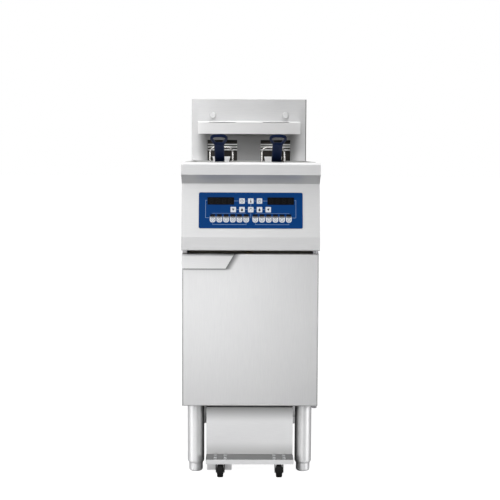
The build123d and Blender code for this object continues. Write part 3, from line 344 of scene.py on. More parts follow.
def brushed_steel(name, grain, tone, rough, zones=(), pull_out=0.85):
    """Sheet brushed along one axis, with painted shade or painted highlight in each zone that a mask
    picks out.
    """
    finish = Finish(name)
    line = finish.noise(LINE_SCALE, detail=2.0, stretch=GRAINS[grain])
    mix = line * LINE_SHARE + finish.noise(WIPE_SCALE, detail=4.0) * WIPE_SHARE
    low, high = tone * (1 - TONE_SPREAD), tone * (1 + TONE_SPREAD)
    color = finish.ramp(mix, (low, low, low * COLD_TINT), (high, high, high))
    for mask, other in zones:
        color = finish.blend(mask(finish), color, (other, other, other))
    finish.set(
        Base_Color=color,
        Metallic=1.0,
        Roughness=between(mix, rough - ROUGH_SPREAD, rough + ROUGH_SPREAD),
        Anisotropic=pull_out,
        Anisotropic_Rotation=0.0 if grain == "Z" else ACROSS_TURN,
    )
    return finish.bump(line, LINE_DEPTH, strength=0.25).material


# %% [markdown]
# A folded sheet isn't one tone here, because its colour carries painted light. Painted shade darkens
# the riser below the hanger and inside it, the back panel's inner face, the riser's right edge, the
# cart's plate, and the pan near its rim and at its foot. It also darkens the door beside its handle
# and at its side folds, the handle's rolled edge, which turns away from the light, and the legs'
# inner sides. Painted highlight lightens the ledge's top and the hanger's lip. Painting each zone
# would need a picture for every sheet, so a zone is a mask made from the piece's own axes. Its
# limits, in metres, are its named values.

# %% Mask the zones of the riser, the ledge and the back


def hanger_shadow(finish, start=1.020, full=1.000, outer=0.180, inner=0.140):
    """Painted shadow of the hanger on the riser below it, fainter towards the sides."""
    below = finish.fade(finish.axis("Z"), start, full)
    return below * finish.fade(abs(finish.axis("X")), outer, inner)


def riser_inside_shade(finish, front=back(690.7) * MM, half=0.1963, top=1.1272):
    """Painted shade: all of the riser that lies behind its front sheet and within its outer faces."""
    behind = finish.axis("Y") > front
    return behind * (abs(finish.axis("X")) < half) * (finish.axis("Z") < top)


def riser_edge_shade(finish, edge=0.1940, sheet=back(691.0) * MM):
    """Painted shade on the right edge of the riser's front sheet."""
    return (finish.axis("X") > edge) * (finish.axis("Y") < sheet)


def rear_inside_shade(finish, outer=back(764.3) * MM):
    """Painted shade on the back panel's inner face."""
    return finish.axis("Y") < outer


def deck_top_highlight(finish, level=0.9165):
    """Painted highlight on the ledge's upper face."""
    return finish.axis("Z") > level


def hanger_lip_highlight(finish, level=1.0515):
    """Painted light on the hanger's lower lip, lighter than its flange."""
    return finish.axis("Z") < level


# %% Mask the zones of the door, the legs and the cart


def handle_end(finish, top=0.655, reach=0.045, slant=26.0 / 44.0):
    """The x of the handle's slanted end, at every height."""
    return (finish.axis("Z") - top) * slant - reach


def handle_edge_shade(finish, roll=0.0022, low=0.6132):
    """Painted shade on the rolled lower edge and slanted end of the handle, which look down and away.
    """
    past_end = finish.axis("X") > handle_end(finish) - roll
    return finish.fade(past_end + (finish.axis("Z") < low), 0.0, 1.0)


def handle_shadow(finish, reach=0.022, start=0.605, full=0.612):
    """Painted shadow of the handle on the door, along the handle's end and lower edge."""
    beside = finish.fade(finish.axis("X") - handle_end(finish), reach, 0.0)
    return beside * finish.fade(finish.axis("Z"), start, full)


def door_edge_shade(finish, edge=0.1942):
    """Painted shade on the folds at both sides of the door."""
    return abs(finish.axis("X")) > edge


def leg_inside_shade(finish, start=0.158, full=0.138):
    """Painted shade on the side of a leg that faces the cart."""
    return finish.fade(abs(finish.axis("X")), start, full)


def plate_top_shade(finish, level=0.0535, lip=back(16.0) * MM):
    """Painted shade on the top of the cart's plate, behind its front lip."""
    return (finish.axis("Z") > level) * (finish.axis("Y") > lip)


def pan_rim_shadow(finish, start=0.148, full=0.205):
    """Painted shadow of the cabinet on the pan's walls near the rim."""
    return finish.fade(finish.axis("Z"), start, full)


def pan_foot_shade(finish, start=0.095, full=0.055, floor=0.052):
    """Painted shade at the foot of the pan's walls, above the outlet."""
    return finish.fade(finish.axis("Z"), start, full) * (finish.axis("Z") > floor)


# %% [markdown]
# Sheets are brushed along their length: across for the ledge, the panel, the riser and the cart,
# upright for the door and the sides. The legs, the feet and the thumbscrews are turned, so their
# lines run round them. Each sheet's tone is painted light: one steel is made lighter or darker per
# sheet, to stand in for the part of the room that each sheet reflects.

# %% Mix the steels
# Every zone below paints shade, except those on the ledge's top and the hanger's lip, which paint
# highlight.
riser_zones = [(hanger_shadow, 0.33), (riser_edge_shade, 0.24), (riser_inside_shade, 0.03)]
pan_zones = [(pan_rim_shadow, 0.32), (pan_foot_shade, 0.74)]
door_zones = [(handle_shadow, 0.24), (door_edge_shade, 0.42)]
steel_across = brushed_steel("steel_brushed_across", "X", tone=0.97, rough=0.50)
steel_deck = brushed_steel("steel_deck", "X", 0.71, 0.54, [(deck_top_highlight, 0.97)], pull_out=0.0)
steel_panel = brushed_steel("steel_panel", "X", 0.69, 0.54, pull_out=0.0)
steel_riser = brushed_steel("steel_riser", "X", 0.74, 0.50, riser_zones)
steel_hanger = brushed_steel("steel_hanger", "X", 0.74, 0.50, [(hanger_lip_highlight, 0.95)])
steel_handle = brushed_steel("steel_handle", "X", 0.84, 0.50, [(handle_edge_shade, 0.22)])
steel_cart = brushed_steel("steel_cart", "X", 0.93, 0.54, [(plate_top_shade, 0.23)], pull_out=0.0)
steel_pan = brushed_steel("steel_pan", "X", 0.95, 0.54, pan_zones, pull_out=0.0)
steel_upright = brushed_steel("steel_brushed_upright", "Z", 0.72, 0.52, pull_out=0.5)
steel_door = brushed_steel("steel_door", "Z", 0.74, 0.44, door_zones, pull_out=0.0)
steel_rear = brushed_steel("steel_rear", "Z", 0.72, 0.52, [(rear_inside_shade, 0.05)], pull_out=0.5)
steel_lengthwise = brushed_steel("steel_brushed_lengthwise", "Y", 0.68, 0.50)
steel_turned = brushed_steel("steel_turned", "X", 0.84, 0.50)
steel_leg = brushed_steel("steel_leg", "X", 0.95, 0.60, [(leg_inside_shade, 0.22)], pull_out=0.6)
print("steels", sum(material.name.startswith("steel_") for material in bpy.data.materials))

# %% [markdown]
# ## Tank, lever and elements
# Three kinds of piece change their finish along their length. The tank has a straw tint where hot oil
# stood. The drain lever is plated, and its outer half is dipped in red vinyl. The heating elements
# are baked dark, with bright stay rods in the riser. A mask on the piece's own axes does each of
# them in one material, so the solid needn't be cut.

# %% Stain, dip and bake


def oiled_tank(stained=0.70, clean=0.90, wander=0.05):
    """Dull steel with a straw tint below the oil line."""
    finish = Finish("steel_tank")
    cloud = finish.noise(9.0, detail=5.0)
    height = finish.axis("Z") + cloud * wander
    bright = finish.add(MAP_RANGE, inputs={"Value": height, "From Min": stained, "From Max": clean})
    finish.set(
        Base_Color=finish.blend(bright, (0.46, 0.41, 0.34), (0.62, 0.62, 0.61)),
        Metallic=1.0,
        Roughness=between(cloud, 0.36, 0.52),
    )
    return finish.bump(finish.noise(900.0), 0.00005, strength=0.2).material


def dipped_lever(dip=-0.060):
    """Plated lever whose outer half is dipped in red vinyl."""
    finish = Finish("lever_dipped")
    grip = finish.axis("X") < dip
    fine = finish.noise(1000.0, detail=2.0)
    finish.set(
        Base_Color=finish.blend(grip, (0.58, 0.58, 0.59), (0.42, 0.012, 0.010)),
        Metallic=1.0 - grip,
        Roughness=between(fine, 0.28, 0.42),
    )
    return finish.bump(fine, 0.0001).material


def heater_sheath(row=back(703.8) * MM, half=0.0034, low=0.9525, high=0.9765):
    """Dark, oil-baked loops and carrier, and bright stay rods in the riser."""
    finish = Finish("heater_sheath")
    fine = finish.noise(700.0, detail=3.0)
    burnt = finish.ramp(finish.noise(14.0, detail=4.0), (0.03, 0.028, 0.026), (0.07, 0.065, 0.06))
    level = (finish.axis("Z") > low) * (finish.axis("Z") < high)
    rod = level * (abs(finish.axis("Y") - row) < half)
    finish.set(
        Base_Color=finish.blend(rod, burnt, (0.92, 0.92, 0.91)),
        Metallic=1.0,
        Roughness=between(fine, 0.32, 0.48) + rod * 0.3,
    )
    return finish.bump(fine, 0.0001).material


steel_tank = oiled_tank()
lever_dipped = dipped_lever()
sheath = heater_sheath()
print("materials", len(bpy.data.materials))

# %% [markdown]
# ## Moulded, printed and plated finishes
# The keypad's film, the keys, the vinyl of the grips, the wire, the valve, the box and the casters
# are plain to the eye. Up close none of them is one flat colour, so one function gives each two
# close tones, a fine grain and uneven gloss. Film, ink, vinyl and tyres are matt: a low specular
# level keeps them from greying under the softboxes.

# %% Mix the keypad's finishes
MATT = {"Specular_IOR_Level": 0.08}
GLOSS_SPREAD = 0.06


def plain_finish(name, dark, light, rough, grain, depth=0.00005, **more):
    """A moulded, painted or plated surface: two close tones, a fine grain and uneven gloss."""
    finish = Finish(name)
    cloud = finish.noise(14.0, detail=4.0)
    fine = finish.noise(grain, detail=2.0)
    finish.set(
        Base_Color=finish.ramp(cloud * 0.6 + fine * 0.4, dark, light),
        Roughness=between(fine * 0.5 + cloud * 0.5, rough - GLOSS_SPREAD, rough + GLOSS_SPREAD),
        **more,
    )
    return finish.bump(fine, depth).material


overlay_blue = plain_finish("overlay_blue", (0.0, 0.037, 0.165), (0.001, 0.043, 0.18),
                            rough=0.42, grain=2600.0, **MATT)
display_black = plain_finish("display_black", (0.003, 0.003, 0.004), (0.005, 0.005, 0.006),
                             rough=0.2, grain=900.0, **MATT)
window_black = plain_finish("window_black", (0.004, 0.004, 0.005), (0.006, 0.006, 0.008),
                            rough=0.3, grain=2000.0, **MATT)
segment_grey = plain_finish("segment_grey", (0.009, 0.009, 0.010), (0.012, 0.012, 0.013),
                            rough=0.3, grain=2000.0, **MATT)
key_white = plain_finish("key_white", (0.66, 0.68, 0.71), (0.72, 0.74, 0.77),
                         rough=0.5, grain=3000.0, **MATT)
print_white = plain_finish("print_white", (0.22, 0.32, 0.48), (0.26, 0.36, 0.52),
                           rough=0.5, grain=3000.0, **MATT)
glyph_dark = plain_finish("glyph_dark", (0.03, 0.03, 0.035), (0.05, 0.05, 0.055),
                          rough=0.5, grain=3000.0, **MATT)
glyph_grey = plain_finish("glyph_grey", (0.10, 0.12, 0.16), (0.13, 0.15, 0.20),
                          rough=0.5, grain=3000.0, **MATT)
print("materials", len(bpy.data.materials))

# %% Mix the fittings' finishes
vinyl_blue = plain_finish("vinyl_blue", (0.001, 0.006, 0.028), (0.002, 0.009, 0.037),
                          rough=0.46, grain=1200.0, depth=0.0001, **MATT)
wire_nickel = plain_finish("wire_nickel", (0.66, 0.65, 0.63), (0.76, 0.75, 0.73),
                           rough=0.26, grain=1500.0, Metallic=1.0)
valve_brass = plain_finish("valve_brass", (0.50, 0.36, 0.14), (0.62, 0.47, 0.20),
                           rough=0.36, grain=500.0, depth=0.0002, Metallic=1.0)
box_grey = plain_finish("box_grey", (0.26, 0.27, 0.28), (0.30, 0.31, 0.32),
                        rough=0.5, grain=900.0, depth=0.0001)
fork_black = plain_finish("fork_black", (0.006, 0.006, 0.007), (0.012, 0.012, 0.013),
                          rough=0.38, grain=900.0, depth=0.0001)
tyre_black = plain_finish("tyre_black", (0.008, 0.008, 0.008), (0.015, 0.015, 0.015),
                          rough=0.6, grain=1200.0, depth=0.0001, **MATT)
zinc_plate = plain_finish("zinc_plate", (0.52, 0.53, 0.54), (0.62, 0.63, 0.64),
                          rough=0.34, grain=400.0, Metallic=1.0)
# A darker copy of the zinc for the door's hinges: painted shade where they sit under the door.
zinc_dull = plain_finish("zinc_dull", (0.28, 0.28, 0.29), (0.34, 0.34, 0.35),
                         rough=0.5, grain=400.0, Metallic=1.0)
print("materials", len(bpy.data.materials))

# %% [markdown]
# Every solid gets one finish. Feet, wheels and keys come in numbers, so they are picked by the start
# of their names. What is left bare is printed, and should be nothing.

# %% Dress the solids
finishes = {
    steel_deck: ["top_deck"],
    steel_panel: ["control_fascia"],
    steel_riser: ["riser_shell"],
    steel_hanger: ["basket_hanger"],
    steel_handle: ["door_handle"],
    steel_cart: ["cart_chassis"],
    steel_pan: ["oil_pan"],
    steel_upright: ["left_side_panel", "right_side_panel", "door_liner"],
    steel_door: ["door_skin"],
    steel_rear: ["rear_panel"],
    steel_lengthwise: ["base_frame"],
    steel_leg: ["legs", *(name for name in nodes if name.startswith("foot_"))],
    steel_turned: ["hanger_thumbscrews", "temperature_probe"],
    steel_tank: ["fry_tank"],
    overlay_blue: ["keypad_overlay"],
    display_black: ["display_board"],
    key_white: [name for name in nodes if name.startswith("key_")],
    sheath: ["element_left", "element_right"],
    box_grey: ["contactor_box"],
    valve_brass: ["drain_valve"],
    lever_dipped: ["drain_lever"],
    vinyl_blue: ["basket_grip_left", "basket_grip_right"],
    wire_nickel: ["basket_left", "basket_right"],
    zinc_plate: ["caster_mounts"],
    zinc_dull: ["door_hinges"],
    fork_black: ["front_fork_left", "front_fork_right"],
    tyre_black: [name for name in nodes if name.startswith("wheel_")],
}
for material, names in finishes.items():
    for name in names:
        nodes[name].data.materials.clear()
        nodes[name].data.materials.append(material)
bare = set(nodes) - {name for names in finishes.values() for name in names}
print("dressed", len(nodes) - len(bare), "bare", sorted(bare))

# %% [markdown]
# ## Shapes that repeat
# Wires, windows, segments, ridges and screws repeat, so each comes from a small Geometry Nodes tree
# with named sizes. A seed mesh holds the paths or the places, the tree does the rest, and the result
# is turned into a plain mesh, because the finished piece has to stand without its modifier.

# %% Write the tree helper


class Tree(Board):
    """A Geometry Nodes tree with named inputs."""

    def __init__(self, name, **sizes):
        super().__init__(bpy.data.node_groups.new(name, "GeometryNodeTree"))
        sockets = self.tree.interface
        sockets.new_socket("Geometry", in_out="INPUT", socket_type="NodeSocketGeometry")
        for label, value in sizes.items():
            kind = "NodeSocketInt" if isinstance(value, int) else "NodeSocketFloat"
            sockets.new_socket(label, in_out="INPUT", socket_type=kind).default_value = value
        sockets.new_socket("Geometry", in_out="OUTPUT", socket_type="NodeSocketGeometry")
        self.entry = self.tree.nodes.new("NodeGroupInput")

    def input(self, label):
        return Signal(self, self.entry.outputs[label])

    def vector(self, x=0.0, y=0.0, z=0.0):
        return self.add("ShaderNodeCombineXYZ", inputs={"X": x, "Y": y, "Z": z})

    def cube(self, x, y, z, place=(0.0, 0.0, 0.0)):
        block = self.add("GeometryNodeMeshCube", inputs={"Size": self.vector(x, y, z)})
        shift = self.vector(*place)
        return self.add("GeometryNodeTransform", inputs={"Geometry": block, "Translation": shift})

    def join(self, parts):
        node = self.tree.nodes.new("GeometryNodeJoinGeometry")
        for part in parts:
            self.tree.links.new(part.socket, node.inputs[0])
        return Signal(self, node.outputs[0])

    def scatter(self, shape, rotation):
        points = {"Points": self.input("Geometry"), "Instance": shape, "Rotation": rotation}
        return self.add("GeometryNodeInstanceOnPoints", inputs=points)

    def close(self, geometry, material):
        solid = self.add("GeometryNodeRealizeInstances", inputs={"Geometry": geometry})
        dressed = self.add("GeometryNodeSetMaterial", inputs={"Geometry": solid, "Material": material})
        self.add("NodeGroupOutput", inputs={0: dressed})
        return self


# %% Turn results into pieces


def seed(name, points, edges=()):
    """A mesh of bare points and edges in millimetres."""
    mesh = bpy.data.meshes.new(name)
    mesh.from_pydata([Vector(point) * MM for point in points], list(edges), [])
    return mesh


def evaluated_mesh(holder):
    """The plain mesh that an object's modifiers or curves come to."""
    grown = holder.evaluated_get(bpy.context.evaluated_depsgraph_get())
    return bpy.data.meshes.new_from_object(grown)


def grow(name, tree, mesh, body, slot, **sizes):
    """Runs a tree on a seed mesh and keeps the result as a plain piece that rides on a body."""
    holder = bpy.data.objects.new(name, mesh)
    scene.collection.objects.link(holder)
    modifier = holder.modifiers.new(name, "NODES")
    modifier.node_group = tree.tree
    for item in tree.tree.interface.items_tree:
        if item.in_out == "INPUT" and item.name in sizes:
            modifier[item.identifier] = sizes[item.name]
    plain = evaluated_mesh(holder)
    holder.modifiers.clear()
    holder.data = plain
    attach(holder, body)
    print(name, len(plain.polygons), "faces")
    return holder


def solid_piece(name, mesh, body, material):
    """A finished mesh in metres as a piece that rides on a body."""
    piece = bpy.data.objects.new(name, mesh)
    scene.collection.objects.link(piece)
    mesh.materials.append(material)
    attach(piece, body)


# %% [markdown]
# ## Woven baskets
# The solid basket is a plain tapered shell. The real one is drawn wire: U-shaped wires both ways,
# rings round the walls, a heavy rim, stays, and a hook loop with a plate at the back. A picture of
# mesh with holes would look flat from the side, so every wire is a line in a seed mesh, and one tree
# turns all lines into round wire. Wires and rods are given by their radius.

# %% Draw round wire


def drawn_wire(name, material):
    """A tree that turns every line of its seed into round wire with closed ends."""
    tree = Tree(name, Radius=0.001, Sides=6)
    line = tree.add("GeometryNodeMeshToCurve", inputs={"Mesh": tree.input("Geometry")})
    section = {"Resolution": tree.input("Sides"), "Radius": tree.input("Radius")}
    profile = tree.add("GeometryNodeCurvePrimitiveCircle", inputs=section)
    tube = {"Curve": line, "Profile Curve": profile, "Fill Caps": True}
    return tree.close(tree.add("GeometryNodeCurveToMesh", inputs=tube), material)


def rounded(points, radius, closed=False, steps=5):
    """A polyline in millimetres with its corners rounded."""
    points = [Vector(point) for point in points]
    count = len(points)
    path = []
    for index, corner in enumerate(points):
        if not closed and index in (0, count - 1):
            path.append(corner)
            continue
        before = (points[index - 1] - corner).normalized()
        after = (points[(index + 1) % count] - corner).normalized()
        half = before.angle(after) / 2
        reach = radius / math.tan(half)
        start, end = corner + before * reach, corner + after * reach
        centre = corner + (before + after).normalized() * radius / math.sin(half)
        turn = (start - centre).angle(end - centre)
        spread = math.sin(turn)
        for step in range(steps + 1):
            share = step / steps
            path.append(
                centre
                + (start - centre) * math.sin((1 - share) * turn) / spread
                + (end - centre) * math.sin(share * turn) / spread
            )
    return path


def wire_seed(name, paths):
    """A seed mesh with one chain of edges for each path, closed where the path says so."""
    points, edges = [], []
    for path, closed in paths:
        first = len(points)
        points += path
        edges += [(first + index, first + index + 1) for index in range(len(path) - 1)]
        if closed:
            edges.append((len(points) - 1, first))
    return seed(name, points, edges)


nickel_wire = drawn_wire("nickel_wire", wire_nickel)
vinyl_wire = drawn_wire("vinyl_wire", vinyl_blue)
print("wire trees of", len(nickel_wire.tree.nodes), "nodes")

# %% [markdown]
# The mesh fills the shell's walls and floor. Its two layers of U-shaped wire and its rings lie one
# inside the other, so that no wire runs through the next one. Each layer keeps the taper of the
# shell, which is why a wire's place is a share of the width at the height it has reached.

# %% Lay out the mesh
BASKET_LOW, BASKET_RIM = 746.15, 899.0
BASKET_HALF, BASKET_LENGTH = 80.0, 330.0
BASKET_TAPER, BASKET_INSET = 6.0, 2.5
BASKET_CENTRE = back(350.0)
MESH_WIRE, MESH_PITCH, MESH_BEND = 0.8, 7.6, 9.0
WALL_GAP, FLOOR_GAP = 0.2, 0.1


def basket_section(share, inside):
    """Half width and half length of the wall between the floor and the rim, drawn in by a margin."""
    draw = BASKET_TAPER * (1 - share) + BASKET_INSET + inside
    return BASKET_HALF - draw, BASKET_LENGTH / 2 - draw


def stations(length):
    """Evenly spaced shares from -1 to 1, about one mesh pitch apart."""
    count = round(length / MESH_PITCH)
    return [2 * index / count - 1 for index in range(1, count)]


def woven_paths(middle):
    """The mesh wires of one basket."""
    floor = BASKET_LOW + MESH_WIRE + FLOOR_GAP
    upper = floor + 2 * MESH_WIRE
    top_x, top_y = basket_section(1, MESH_WIRE + WALL_GAP)
    low_x, low_y = basket_section(0, MESH_WIRE + WALL_GAP)
    paths = []

    def add(points, closed=False):
        placed = [Vector((middle + x, BASKET_CENTRE + y, z)) for x, y, z in points]
        paths.append((rounded(placed, MESH_BEND, closed), closed))

    for share in stations(2 * top_y):
        add([(-top_x, share * top_y, BASKET_RIM), (-low_x, share * low_y, floor),
             (low_x, share * low_y, floor), (top_x, share * top_y, BASKET_RIM)])
    for share in stations(2 * top_x):
        add([(share * top_x, -top_y, BASKET_RIM), (share * low_x, -low_y, upper),
             (share * low_x, low_y, upper), (share * top_x, top_y, BASKET_RIM)])
    levels = round((BASKET_RIM - BASKET_LOW) / MESH_PITCH)
    for level in range(1, levels):
        x, y = basket_section(level / levels, 3 * MESH_WIRE + WALL_GAP)
        z = BASKET_LOW + (BASKET_RIM - BASKET_LOW) * level / levels
        add([(-x, -y, z), (x, -y, z), (x, y, z), (-x, y, z)], True)
    return paths


print("mesh wires", len(woven_paths(0.0)))

# %% [markdown]
# A heavy rod runs round the rim, and three stays carry the mesh. At the back a loop hangs on the
# hanger. At the front two neck wires lead from the rim up to the grip, along the slanting middle
# line of its strap.

# %% Lay out the rods
RIM_ROD, RIM_BEND = 4.0, 10.0
STAY_ROD, STAY_BEND, STAY_GAP, STAY_PLACES = 1.8, 12.0, 0.3, (-100.0, 0.0, 100.0)
HOOK_ROD, HOOK_BEND, HOOK_HALF, HOOK_TOP, HOOK_SETBACK = 2.75, 18.6, 37.25, 963.0, 511.0
GRIP_SETBACK, GRIP_HEIGHT, GRIP_SLOPE = 27.0, 995.0, math.tan(math.radians(23.5))
NECK_ROD, NECK_BEND, NECK_START, NECK_KNEE, NECK_SIDES = 4.0, 7.0, 138.0, 189.0, (-8.0, 8.0)


def rim_paths(middle):
    """The heavy rod round the rim."""
    x, y = BASKET_HALF - RIM_ROD, BASKET_LENGTH / 2 - RIM_ROD
    corners = [(-x, -y), (x, -y), (x, y), (-x, y)]
    loop = [(middle + a, BASKET_CENTRE + b, BASKET_RIM) for a, b in corners]
    return [(rounded(loop, RIM_BEND, True), True)]


def stay_paths(middle):
    """Three stays inside the mesh, from rim to rim under the food."""
    inside = 5 * MESH_WIRE + STAY_ROD + STAY_GAP
    top_x, _ = basket_section(1, inside)
    low_x, _ = basket_section(0, inside)
    floor = BASKET_LOW + 4 * MESH_WIRE + STAY_ROD + STAY_GAP
    points = [(-top_x, BASKET_RIM), (-low_x, floor), (low_x, floor), (top_x, BASKET_RIM)]
    paths = []
    for y in STAY_PLACES:
        placed = [(middle + x, BASKET_CENTRE + y, z) for x, z in points]
        paths.append((rounded(placed, STAY_BEND), False))
    return paths


def hook_paths(middle):
    """The loop at the back that hangs on the hanger."""
    points = [(-HOOK_HALF, BASKET_RIM), (-HOOK_HALF, HOOK_TOP),
              (HOOK_HALF, HOOK_TOP), (HOOK_HALF, BASKET_RIM)]
    placed = [(middle + x, back(HOOK_SETBACK), z) for x, z in points]
    return [(rounded(placed, HOOK_BEND, steps=8), False)]


def on_strap(setback):
    """A setback with the height of the strap's middle line there."""
    return setback, GRIP_HEIGHT - (setback - GRIP_SETBACK) * GRIP_SLOPE


def neck_paths(middle):
    """The two wires from the grip to the rim, which the grip's vinyl coats."""
    line = [on_strap(NECK_START), on_strap(NECK_KNEE), (NECK_KNEE, BASKET_RIM)]
    paths = []
    for side in NECK_SIDES:
        placed = [(middle + side, back(setback), z) for setback, z in line]
        paths.append((rounded(placed, NECK_BEND), False))
    return paths


# %% [markdown]
# Two flat pieces finish a basket: the plate inside the hook's loop, and the sleeve of vinyl that
# covers both neck wires. Each is an outline that is pushed out and has its edges eased, which takes
# a few lines of BMesh and needs no modifier.

# %% Cut the hook's plate and the neck's sleeve
SHARP_ANGLE = 0.6
PLATE_LOW_HALF, PLATE_TOP_HALF, PLATE_TOP = 22.0, 29.5, 933.0
PLATE_SETBACK, PLATE_THICK, PLATE_EASE = 509.8, 2.4, 0.5
SLEEVE_START, SLEEVE_LOW, SLEEVE_HALF = 167.5, 908.0, 14.5
SLEEVE_HALF_THICK, SLEEVE_EASE = 4.3, 1.0


def slab(name, outline, push, ease):
    """A flat outline in millimetres pushed along a vector, with its edges eased."""
    shape = bmesh.new()
    face = shape.faces.new([shape.verts.new(Vector(point) * MM) for point in outline])
    pushed = bmesh.ops.extrude_face_region(shape, geom=[face])
    moved = [item for item in pushed["geom"] if isinstance(item, bmesh.types.BMVert)]
    bmesh.ops.translate(shape, verts=moved, vec=Vector(push) * MM)
    bmesh.ops.recalc_face_normals(shape, faces=shape.faces)
    sharp = [edge for edge in shape.edges if edge.calc_face_angle() > SHARP_ANGLE]
    bmesh.ops.bevel(shape, geom=sharp, offset=ease * MM, segments=2, affect="EDGES")
    mesh = bpy.data.meshes.new(name)
    shape.to_mesh(mesh)
    shape.free()
    return mesh


def hook_plate(name, middle):
    """The small plate in the loop, wider at its top."""
    outline = [(-PLATE_LOW_HALF, BASKET_RIM), (PLATE_LOW_HALF, BASKET_RIM),
               (PLATE_TOP_HALF, PLATE_TOP), (-PLATE_TOP_HALF, PLATE_TOP)]
    placed = [(middle + x, back(PLATE_SETBACK), z) for x, z in outline]
    return slab(name, placed, (0, PLATE_THICK, 0), PLATE_EASE)


def neck_sleeve(name, middle):
    """The end of the grip's vinyl, which covers both neck wires down to the basket."""
    line = [on_strap(SLEEVE_START), on_strap(NECK_KNEE), (NECK_KNEE, SLEEVE_LOW)]
    route = rounded([(middle - SLEEVE_HALF, back(setback), z) for setback, z in line], NECK_BEND)
    above, below = [], []
    for index, point in enumerate(route):
        along = (route[min(index + 1, len(route) - 1)] - route[max(index - 1, 0)]).normalized()
        out = Vector((0.0, -along.z, along.y)) * SLEEVE_HALF_THICK
        above.append(point + out)
        below.append(point - out)
    return slab(name, above + below[::-1], (2 * SLEEVE_HALF, 0, 0), SLEEVE_EASE)


# %% [markdown]
# Both baskets are alike, so one loop makes them. The weave takes the place of the solid shell in the
# picture, and everything rides on its own basket, because a basket lifts out of the oil.

# %% Weave both baskets
BASKET_MIDDLES = {"left": -92.0, "right": 78.0}
rods = [
    ("rim", nickel_wire, rim_paths, "basket_wire", RIM_ROD, 14),
    ("neck", vinyl_wire, neck_paths, "grip_blue", NECK_ROD, 14),
    ("stays", nickel_wire, stay_paths, "basket_wire", STAY_ROD, 10),
    ("hook", nickel_wire, hook_paths, "basket_wire", HOOK_ROD, 12),
]
for side, middle in BASKET_MIDDLES.items():
    body = f"basket_{side}"
    mesh_seed = wire_seed(body, woven_paths(middle))
    woven = grow(f"{body}_weave", nickel_wire, mesh_seed, body, "basket_wire",
                 Radius=MESH_WIRE * MM, Sides=5)
    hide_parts(body)
    for part, tree, paths, slot, radius, sides in rods:
        grow(f"{body}_{part}", tree, wire_seed(body, paths(middle)), body, slot,
             Radius=radius * MM, Sides=sides)
    solid_piece(f"{body}_plate", hook_plate(body, middle), body, steel_across)
    solid_piece(f"{body}_sleeve", neck_sleeve(body, middle), body, vinyl_blue)

# %% [markdown]
# ## Keypad print
# The keypad is a printed film. Its thin pale lines tie the keys into groups, a dark window sits
# above every numbered key, and each key carries a symbol or a number. A picture of the print would
# blur up close, so all of it is modelled as raised ink a twentieth of a millimetre thick, in the
# panel's own coordinates: u to the right and v up the panel.

# %% Draw on the leaning panel
PANEL_RUN, PANEL_RISE, PANEL_HEIGHT = 34.0, 152.0, 781.0
PANEL_LEAN = math.atan2(PANEL_RUN, PANEL_RISE)
PANEL_MIDDLE = Vector((0.0, back(PANEL_RUN / 2), PANEL_HEIGHT))
PANEL_TILT = math.pi / 2 - PANEL_LEAN
DISPLAY_FACE, FILM, KEY_TOP, INK = 1.2, 1.5, 2.3, 0.05


def on_panel(u, v, rise):
    """A point on the panel in millimetres."""
    lean, tall = math.sin(PANEL_LEAN), math.cos(PANEL_LEAN)
    return PANEL_MIDDLE + Vector((u, v * lean - rise * tall, v * tall + rise * lean))


def printed(outlines, low):
    """Ink with these outlines on a face of the panel, as one mesh in metres."""
    shape = bmesh.new()
    for outline in outlines:
        bottom = [shape.verts.new(on_panel(u, v, low) * MM) for u, v in outline]
        top = [shape.verts.new(on_panel(u, v, low + INK) * MM) for u, v in outline]
        shape.faces.new(top)
        shape.faces.new(bottom[::-1])
        for index in range(len(outline)):
            after = (index + 1) % len(outline)
            shape.faces.new((bottom[index], bottom[after], top[after], top[index]))
    mesh = bpy.data.meshes.new("print")
    shape.to_mesh(mesh)
    shape.free()
    return mesh


print("panel leans", round(math.degrees(PANEL_LEAN), 1), "degrees")

# %% [markdown]
# Three kinds of outline draw the whole print: straight bars, arcs and rings. All of them run
# anticlockwise, so that their faces point out of the panel.

# %% Draw bars, arcs and rings


def bar(u0, v0, u1, v1, width):
    """Outline of a straight printed line."""
    along = Vector((u1 - u0, v1 - v0)).normalized() * width / 2
    side = Vector((-along.y, along.x))
    ends = [Vector((u0, v0)) - along - side, Vector((u1, v1)) + along - side,
            Vector((u1, v1)) + along + side, Vector((u0, v0)) - along + side]
    return [tuple(end) for end in ends]


def arc(u, v, radius, start, end, steps=20):
    """Points on an arc, in degrees."""
    turns = [math.radians(start + (end - start) * step / steps) for step in range(steps + 1)]
    return [(u + radius * math.cos(turn), v + radius * math.sin(turn)) for turn in turns]


def ring(u, v, radius, width, start=0, end=359.5):
    """Outline of a printed ring or of a part of one."""
    return arc(u, v, radius, start, end) + arc(u, v, radius - width, end, start)


# %% [markdown]
# The square keys stand in two rows in the middle, with short lines in the gaps between them. A half
# frame runs round each side from the display to the numbered keys, which have a bracket below them
# and a fine rule above their windows. A line that meets another one stops a little short of it, so
# that the two don't overlap.

# %% Print the lines
TOP_ROW, MIDDLE_ROW = 27.3, 2.3
SQUARE_PITCH, SQUARE_EDGE, DISPLAY_EDGE = 25.0, 8.0, 47.0
LINE, FINE_LINE, SHORT = 0.9, 0.6, 1.0
STEMS = ((19.0, 10.5), (-6.0, -22.0))
FRAME_SIDE, FRAME_TOP, FRAME_LOW = 129.0, 29.0, -21.6
FRAME_TOP_END, FRAME_LOW_END = 125.4, 118.6
BRACKET_NEAR, BRACKET_FAR, BRACKET_TOP, BRACKET_LOW = 13.2, 108.6, -36.4, -41.0
RULE_NEAR, RULE_FAR, RULE_ROW = 14.0, 110.0, -8.6


def square_middles(count):
    """The u of each key in a row of square keys."""
    return [(index - (count - 1) / 2) * SQUARE_PITCH for index in range(count)]


